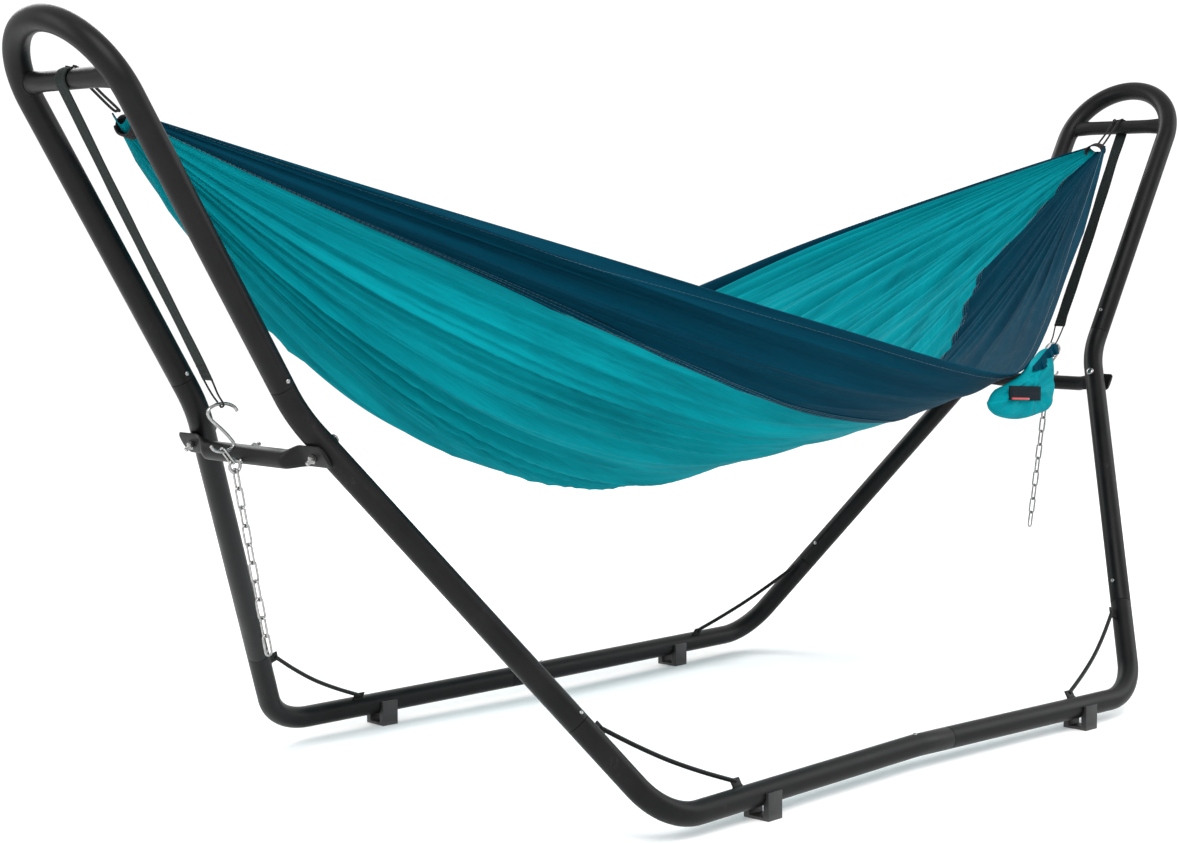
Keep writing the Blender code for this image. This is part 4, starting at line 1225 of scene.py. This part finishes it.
def fabric_height(x, across):
    """How far the pleats and creases lift the cloth from its smooth form, in metres."""
    t = share_of(x)
    end = np.where(x < 0, -1.0, 1.0)
    half = END_HALF + (RIM_HALF - END_HALF) * (1 - t**1.4)
    height = np.zeros(np.broadcast(x, across).shape)
    bent = across + 0.035 * DRIFT(across * 2.2, t * 1.6 + end)
    for count, start, slope, shift in PLEATS:
        grow = np.clip((t - start) / (1 - start), 0, 1)
        grow = grow**1.2 * (3 - 2 * grow) ** 0.5
        patch = 0.72 + 0.34 * PATCHES(across * 3.1 + shift, end * 4 + t * 1.2)
        size = slope * grow * patch * (2 * half / count) / (2 * math.pi)
        phase = count * (bent * 0.5 + 0.5) + shift + 0.45 * DRIFT(across * 4 + shift, end * 2.5)
        height = height + size * pleat(phase)
    near_rim = np.clip((1 - np.abs(across)) / 0.05, 0, 1)
    long_wave = 0.0045 * PULLS(across * 2.4, x * 1.3) * np.clip(t * 4 + 0.15, 0, 1)
    creases = 0.0016 * FINE_PATCHES(across * 5.5 + x * 0.8, x * 2.1 - across * 2) * (1 - 0.6 * t)
    fade = np.clip(1.15 - t, 0, 1)
    bound = np.clip((1 - t) * 30, 0.2, 1)
    return height * bound * (0.45 + 0.55 * near_rim) + (long_wave + creases) * fade * (0.3 + 0.7 * near_rim)


def smooth_point(x, across):
    """The cloth's hung form without pleats."""
    t = share_of(x)
    past = x - BELLY_LOW_X
    reach = np.abs(past) / (GATHER.x - np.sign(past) * BELLY_LOW_X)
    climb = reach ** np.where(past < 0, BELLY_POWERS[0], BELLY_POWERS[1])
    belly = BELLY_Z + (GATHER.z - BELLY_END_DROP - BELLY_Z) * climb
    half, rim = 0.0, 0.0
    for (end, side), (middle_z, rise_power, width_power) in RIMS.items():
        here = ((x < 0) == (end < 0)) & ((across < 0) == (side < 0))
        half = half + here * (END_HALF + (RIM_HALF - END_HALF) * (1 - t**width_power))
        rim = rim + here * (middle_z + (GATHER.z - middle_z) * t**rise_power)
    return np.stack([x + 0 * across, across * half, belly + (rim - belly) * across**2], -1)


def fabric_normal(x, across):
    step_x, step_across = 0.004, 0.01
    along = smooth_point(x + step_x, across) - smooth_point(x - step_x, across)
    side = smooth_point(x, across + step_across) - smooth_point(x, across - step_across)
    normal = np.cross(along, side)
    return normal / np.linalg.norm(normal, axis=-1, keepdims=True)


def fabric(x, across, lift=0.0):
    """Points of the cloth, lifted off its upper face."""
    height = fabric_height(x, across)
    return smooth_point(x, across) + fabric_normal(x, across) * (height + lift)[..., None]


def columns():
    """Stations along the cloth, closer together towards the gathered ends."""
    u = np.linspace(-1, 1, 2 * COLUMNS_PER_HALF + 1)
    return PANEL_END_X * np.sin(u * math.pi / 2) * 0.35 + PANEL_END_X * u * 0.65


def near_seam(x):
    """The share of the half width at which the near seam runs; it drifts inwards to the right."""
    return NEAR_SEAM + NEAR_SEAM_DRIFT * np.maximum(0, x - NEAR_SEAM_FROM_X) ** NEAR_SEAM_POWER


def far_seam(x):
    return FAR_SEAM + 0 * x


def near_rim(x):
    return -1 + 0 * x


def far_rim(x):
    return 1 + 0 * x


def shifted(line, amount):
    """The same line on the cloth, moved over by a share of the half width."""
    return lambda x: line(x) + amount


def cloth_strip(name, low, high, rows, lift_top, lift_bottom, flat_from, flat_width):
    """A closed thin strip of the cloth between two lines along it."""
    xs = columns()
    over = np.linspace(0, 1, rows + 1)
    grid_x = xs[:, None] + 0 * over[None]
    grid_s = low(xs)[:, None] * (1 - over) + high(xs)[:, None] * over
    top = fabric(grid_x, grid_s, np.full(grid_x.shape, lift_top))
    bottom = fabric(grid_x, grid_s, np.full(grid_x.shape, lift_bottom))
    ring = np.concatenate([top, bottom[:, ::-1]], axis=1)
    across = flat_from + flat_width * over
    across = np.concatenate([across, across[::-1], across[:1]])
    along = (xs / PANEL_END_X * 0.5 + 0.5) * FLAT_LENGTH
    uvs = [[(u, v) for u in across] for v in along]
    return grid_mesh(name, ring, uvs, True, True)


def make_fabric():
    half = CLOTH_T / 2
    far_from = NEAR_WIDTH + CENTRE_WIDTH
    panels = (
        ("cloth_near_side", near_rim, near_seam, 110, 0.0, NEAR_WIDTH, "navy", "near_side_panel"),
        ("cloth_centre", near_seam, far_seam, 290, NEAR_WIDTH, CENTRE_WIDTH, "cyan", "centre_panel"),
        ("cloth_far_side", far_seam, far_rim, 36, far_from, FAR_WIDTH, "navy", "far_side_panel"),
    )
    for name, low, high, rows, flat_from, flat_width, look, node in panels:
        mesh = cloth_strip(name, low, high, rows, half, -half, flat_from, flat_width)
        panel = shown(name, mesh, look, "hammock", node)
    bands = {
        "seam": [(shifted(line, -SEAM_HALF), shifted(line, SEAM_HALF)) for line in (near_seam, far_seam)],
        "hem": [(near_rim, shifted(near_rim, HEM)), (shifted(far_rim, -HEM), far_rim)],
    }
    for kind, lines in bands.items():
        strips = []
        for low, high in lines:
            for top, bottom in ((half + TRIM_T, half), (-half, -half - TRIM_T)):
                strips.append(cloth_strip(kind, low, high, 4, top, bottom, 0.0, 0.016))
        shown(f"cloth_{kind}s", joined(f"cloth_{kind}s", strips, 50), "navy", "hammock")
    make_stitches()


def make_stitches():
    """Rows of straight stitch beside each seam and along each hem, on both faces."""
    lines = [shifted(line, by) for line in (near_seam, far_seam) for by in (-STITCH_APART, 0, STITCH_APART)]
    lines += [shifted(near_rim, HEM_STITCH), shifted(far_rim, -HEM_STITCH)]
    points, faces = [], []
    fine = np.linspace(-1.30, 1.30, 1400)
    for share, face in [(line, face) for line in lines for face in (1, -1)]:
        line = fabric(fine, share(fine), np.full(fine.shape, face * (CLOTH_T / 2 + 0.0012)))
        run = np.concatenate([[0], np.cumsum(np.linalg.norm(np.diff(line, axis=0), axis=1))])
        starts = np.arange(0, run[-1] - STITCH_PITCH, STITCH_PITCH)
        for start in starts:
            stop = start + STITCH_PITCH - STITCH_GAP
            ends = [np.array([np.interp(s, run, line[:, k]) for k in range(3)]) for s in (start, stop)]
            axis = ends[1] - ends[0]
            axis /= np.linalg.norm(axis)
            side = np.cross(axis, [0.2, 0.3, 0.93])
            side /= np.linalg.norm(side)
            other = np.cross(axis, side)
            first = len(points)
            for centre in ends:
                for k in range(4):
                    angle = math.pi * (k / 2 + 0.25)
                    points.append(centre + STITCH_R * (math.cos(angle) * side + math.sin(angle) * other))
            for k in range(4):
                m = (k + 1) % 4
                faces.append((first + k, first + m, first + 4 + m, first + 4 + k))
            faces += [(first + 3, first + 2, first + 1, first), (first + 4, first + 5, first + 6, first + 7)]
    mesh = bpy.data.meshes.new("cloth_stitches")
    mesh.from_pydata([list(p) for p in points], [], faces)
    mesh.shade_smooth()
    shown("cloth_stitches", mesh, "navy_thread", "hammock")


def make_gather_whipping():
    """The cord wound round each gathered end, which holds the pleats on the rope."""
    for end_name, end in ENDS:
        x = end * (PANEL_END_X - 0.012)
        centre = smooth_point(np.array(x), np.array(0.0)) + np.array([0, 0, 0.006])
        path = []
        turns, radius = 6, 0.0155
        for i in range(turns * 28 + 1):
            angle = 2 * math.pi * i / 28
            slide = end * (i / 28) * 0.0031
            path.append(Vector((centre[0] + slide - end * 0.009, centre[1] + radius * 1.45 * math.cos(angle),
                                centre[2] + radius * math.sin(angle) + abs(slide) * 0.3)))
        mesh = joined(f"whipping_{end_name}", [tube_mesh("whipping", path, WHIPPING_R, 10, sharp=80)])
        shown(f"whipping_{end_name}", mesh, "braid", "hammock")


# ---------------------------------------------------------------- storage pouch


def make_pouch():
    """A soft flat sack that hangs from the near rim, its mouth gathered under a ruffled collar."""
    low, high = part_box("storage_pouch")
    outline = ((-0.056, 0.691), (-0.050, 0.680), (-0.034, 0.670), (-0.008, 0.663), (0.024, 0.659),
               (0.056, 0.660), (0.086, 0.664), (0.112, 0.669), (0.129, 0.681), (0.134, 0.704), (0.134, 0.735),
               (0.130, 0.768), (0.116, 0.780), (0.094, 0.766), (0.068, 0.748), (0.036, 0.733), (0.000, 0.722),
               (-0.036, 0.711))
    ring = smooth([Vector((x, 0, z)) for x, z in outline + outline[:1]], 6)[:-1]
    middle = sum(ring, Vector()) / len(ring)
    crumple = waves(55, 6, 3.0, 9.0)
    depth_middle = (low.y + high.y) / 2 - POUCH_PROUD
    half_depth = (high.y - low.y) / 2
    rows, uvs = [], []
    steps = 26
    for i in range(steps + 1):
        angle = math.pi * (i / steps)
        inset = math.sin(angle) ** 0.42 if 0 < i < steps else 0.02
        y = depth_middle - half_depth * math.cos(angle)
        row = []
        for j, point in enumerate(ring):
            offset = (point - middle) * inset
            slack = crumple(offset.x * 22, offset.z * 30 + i * 0.1)
            bulge = 0.0035 * slack * inset * (1 - inset) * 3
            sag = 0.004 * math.sin(angle) * (1 - inset)
            row.append([middle.x + offset.x, y + bulge, middle.z + offset.z - sag])
        rows.append(row)
        uvs.append([(j * 0.004, i * 0.006) for j in range(len(ring) + 1)])
    mesh = grid_mesh("pouch_body", np.array(rows), uvs, True, True)
    pouch = shown("pouch_body", mesh, "cyan", "hammock", "storage_pouch")
    make_pouch_patches(low.y + 0.0004 - POUCH_PROUD)
    make_ruffle(depth_middle)


def folded_strip(name, lines, thick, drop, pitch):
    """A closed thin strip: each line of points and the same line pushed back by its thickness."""
    rows = [line + [[x, y + thick, z + drop] for x, y, z in line[::-1]] for line in lines]
    uvs = [[(j * pitch[0], i * pitch[1]) for j in range(len(row) + 1)] for i, row in enumerate(rows)]
    return grid_mesh(name, np.array(rows), uvs, True, True)


def make_pouch_patches(front):
    """A blank sewn label with a red edge."""
    pieces = (("pouch_patch", "patch", (-0.020, 0.6930), (0.070, 0.7180), 0.0045),
              ("pouch_patch_stripe", "red_thread", (-0.018, 0.6940), (0.034, 0.6975), 0.0053))
    for name, look, corner_low, corner_high, lift in pieces:
        lines = []
        for i in range(13):
            x = corner_low[0] + (corner_high[0] - corner_low[0]) * i / 12
            bow = 0.0016 * math.sin(math.pi * i / 12)
            line = []
            for j in range(7):
                z = corner_low[1] + (corner_high[1] - corner_low[1]) * j / 6 - 0.07 * (x - 0.03)
                line.append([x, front - lift - bow * 0.4, z])
            lines.append(line)
        mesh = folded_strip(name, lines, lift + 0.0006, 0, (0.004, 0.008))
        shown(name, mesh, look, "hammock")


def make_ruffle(depth_middle):
    """The gathered collar at the pouch's mouth."""
    edge = [Vector((x, 0, z)) for x, z in ((0.056, 0.742), (0.074, 0.753), (0.090, 0.764), (0.106, 0.774),
                                           (0.120, 0.780), (0.134, 0.778))]
    edge = smooth(edge, 14)
    lines = []
    for i, point in enumerate(edge):
        share = i / (len(edge) - 1)
        full = eased(share * 6) * eased((1 - share) * 8)
        line = []
        for j in range(7):
            down = j / 6
            flare = 0.004 * down * math.sin(share * 24 + 0.9 * math.sin(share * 9)) + 0.005 * down
            y = depth_middle - 0.010 - flare * full - 0.004
            z = point.z + 0.008 - (0.008 + 0.009 * full) * down + 0.002 * math.sin(share * 15) * down
            line.append([point.x + 0.003 * math.sin(share * 61) * down, y, z])
        lines.append(line)
    mesh = folded_strip("pouch_ruffle", lines, 0.0012, 0.0004, (0.003, 0.003))
    shown("pouch_ruffle", mesh, "navy", "hammock")


# ---------------------------------------------------------------- the whole object

make_camera()
make_studio()
LOOKS = {
    "tube": (powder_coat(), "black_tube"),
    "zinc": (zinc(), "zinc_steel"),
    "plastic": (moulded_plastic(), "black_plastic"),
    "webbing": (webbing(), "webbing"),
    "braid": (braid(), "black_cord"),
    # Each nylon look gets a shaded and a lit colour, and painted fold shade runs between them.
    "cyan": (nylon("cyan_nylon_look", (0.0, 0.125, 0.152), (0.0, 0.245, 0.285)), "cyan_nylon"),
    "navy": (nylon("navy_nylon_look", (0.0, 0.021, 0.040), (0.0, 0.036, 0.062)), "navy_nylon"),
    "patch": (nylon("patch_look", (0.006, 0.010, 0.014), (0.012, 0.018, 0.022)), "navy_nylon"),
    "thread": (thread("black_thread", (0.016, 0.018, 0.018)), "webbing"),
    "navy_thread": (thread("navy_thread", (0.0, 0.06, 0.10)), "navy_nylon"),
    "red_thread": (thread("red_thread", (0.42, 0.012, 0.012)), "navy_nylon"),
}
make_tubes(make_buttons())
make_crossbars()
make_fixings()
make_hooks_and_chains()
make_feet_and_braces()
make_straps()
make_cords()
make_fabric()
make_gather_whipping()
make_pouch()
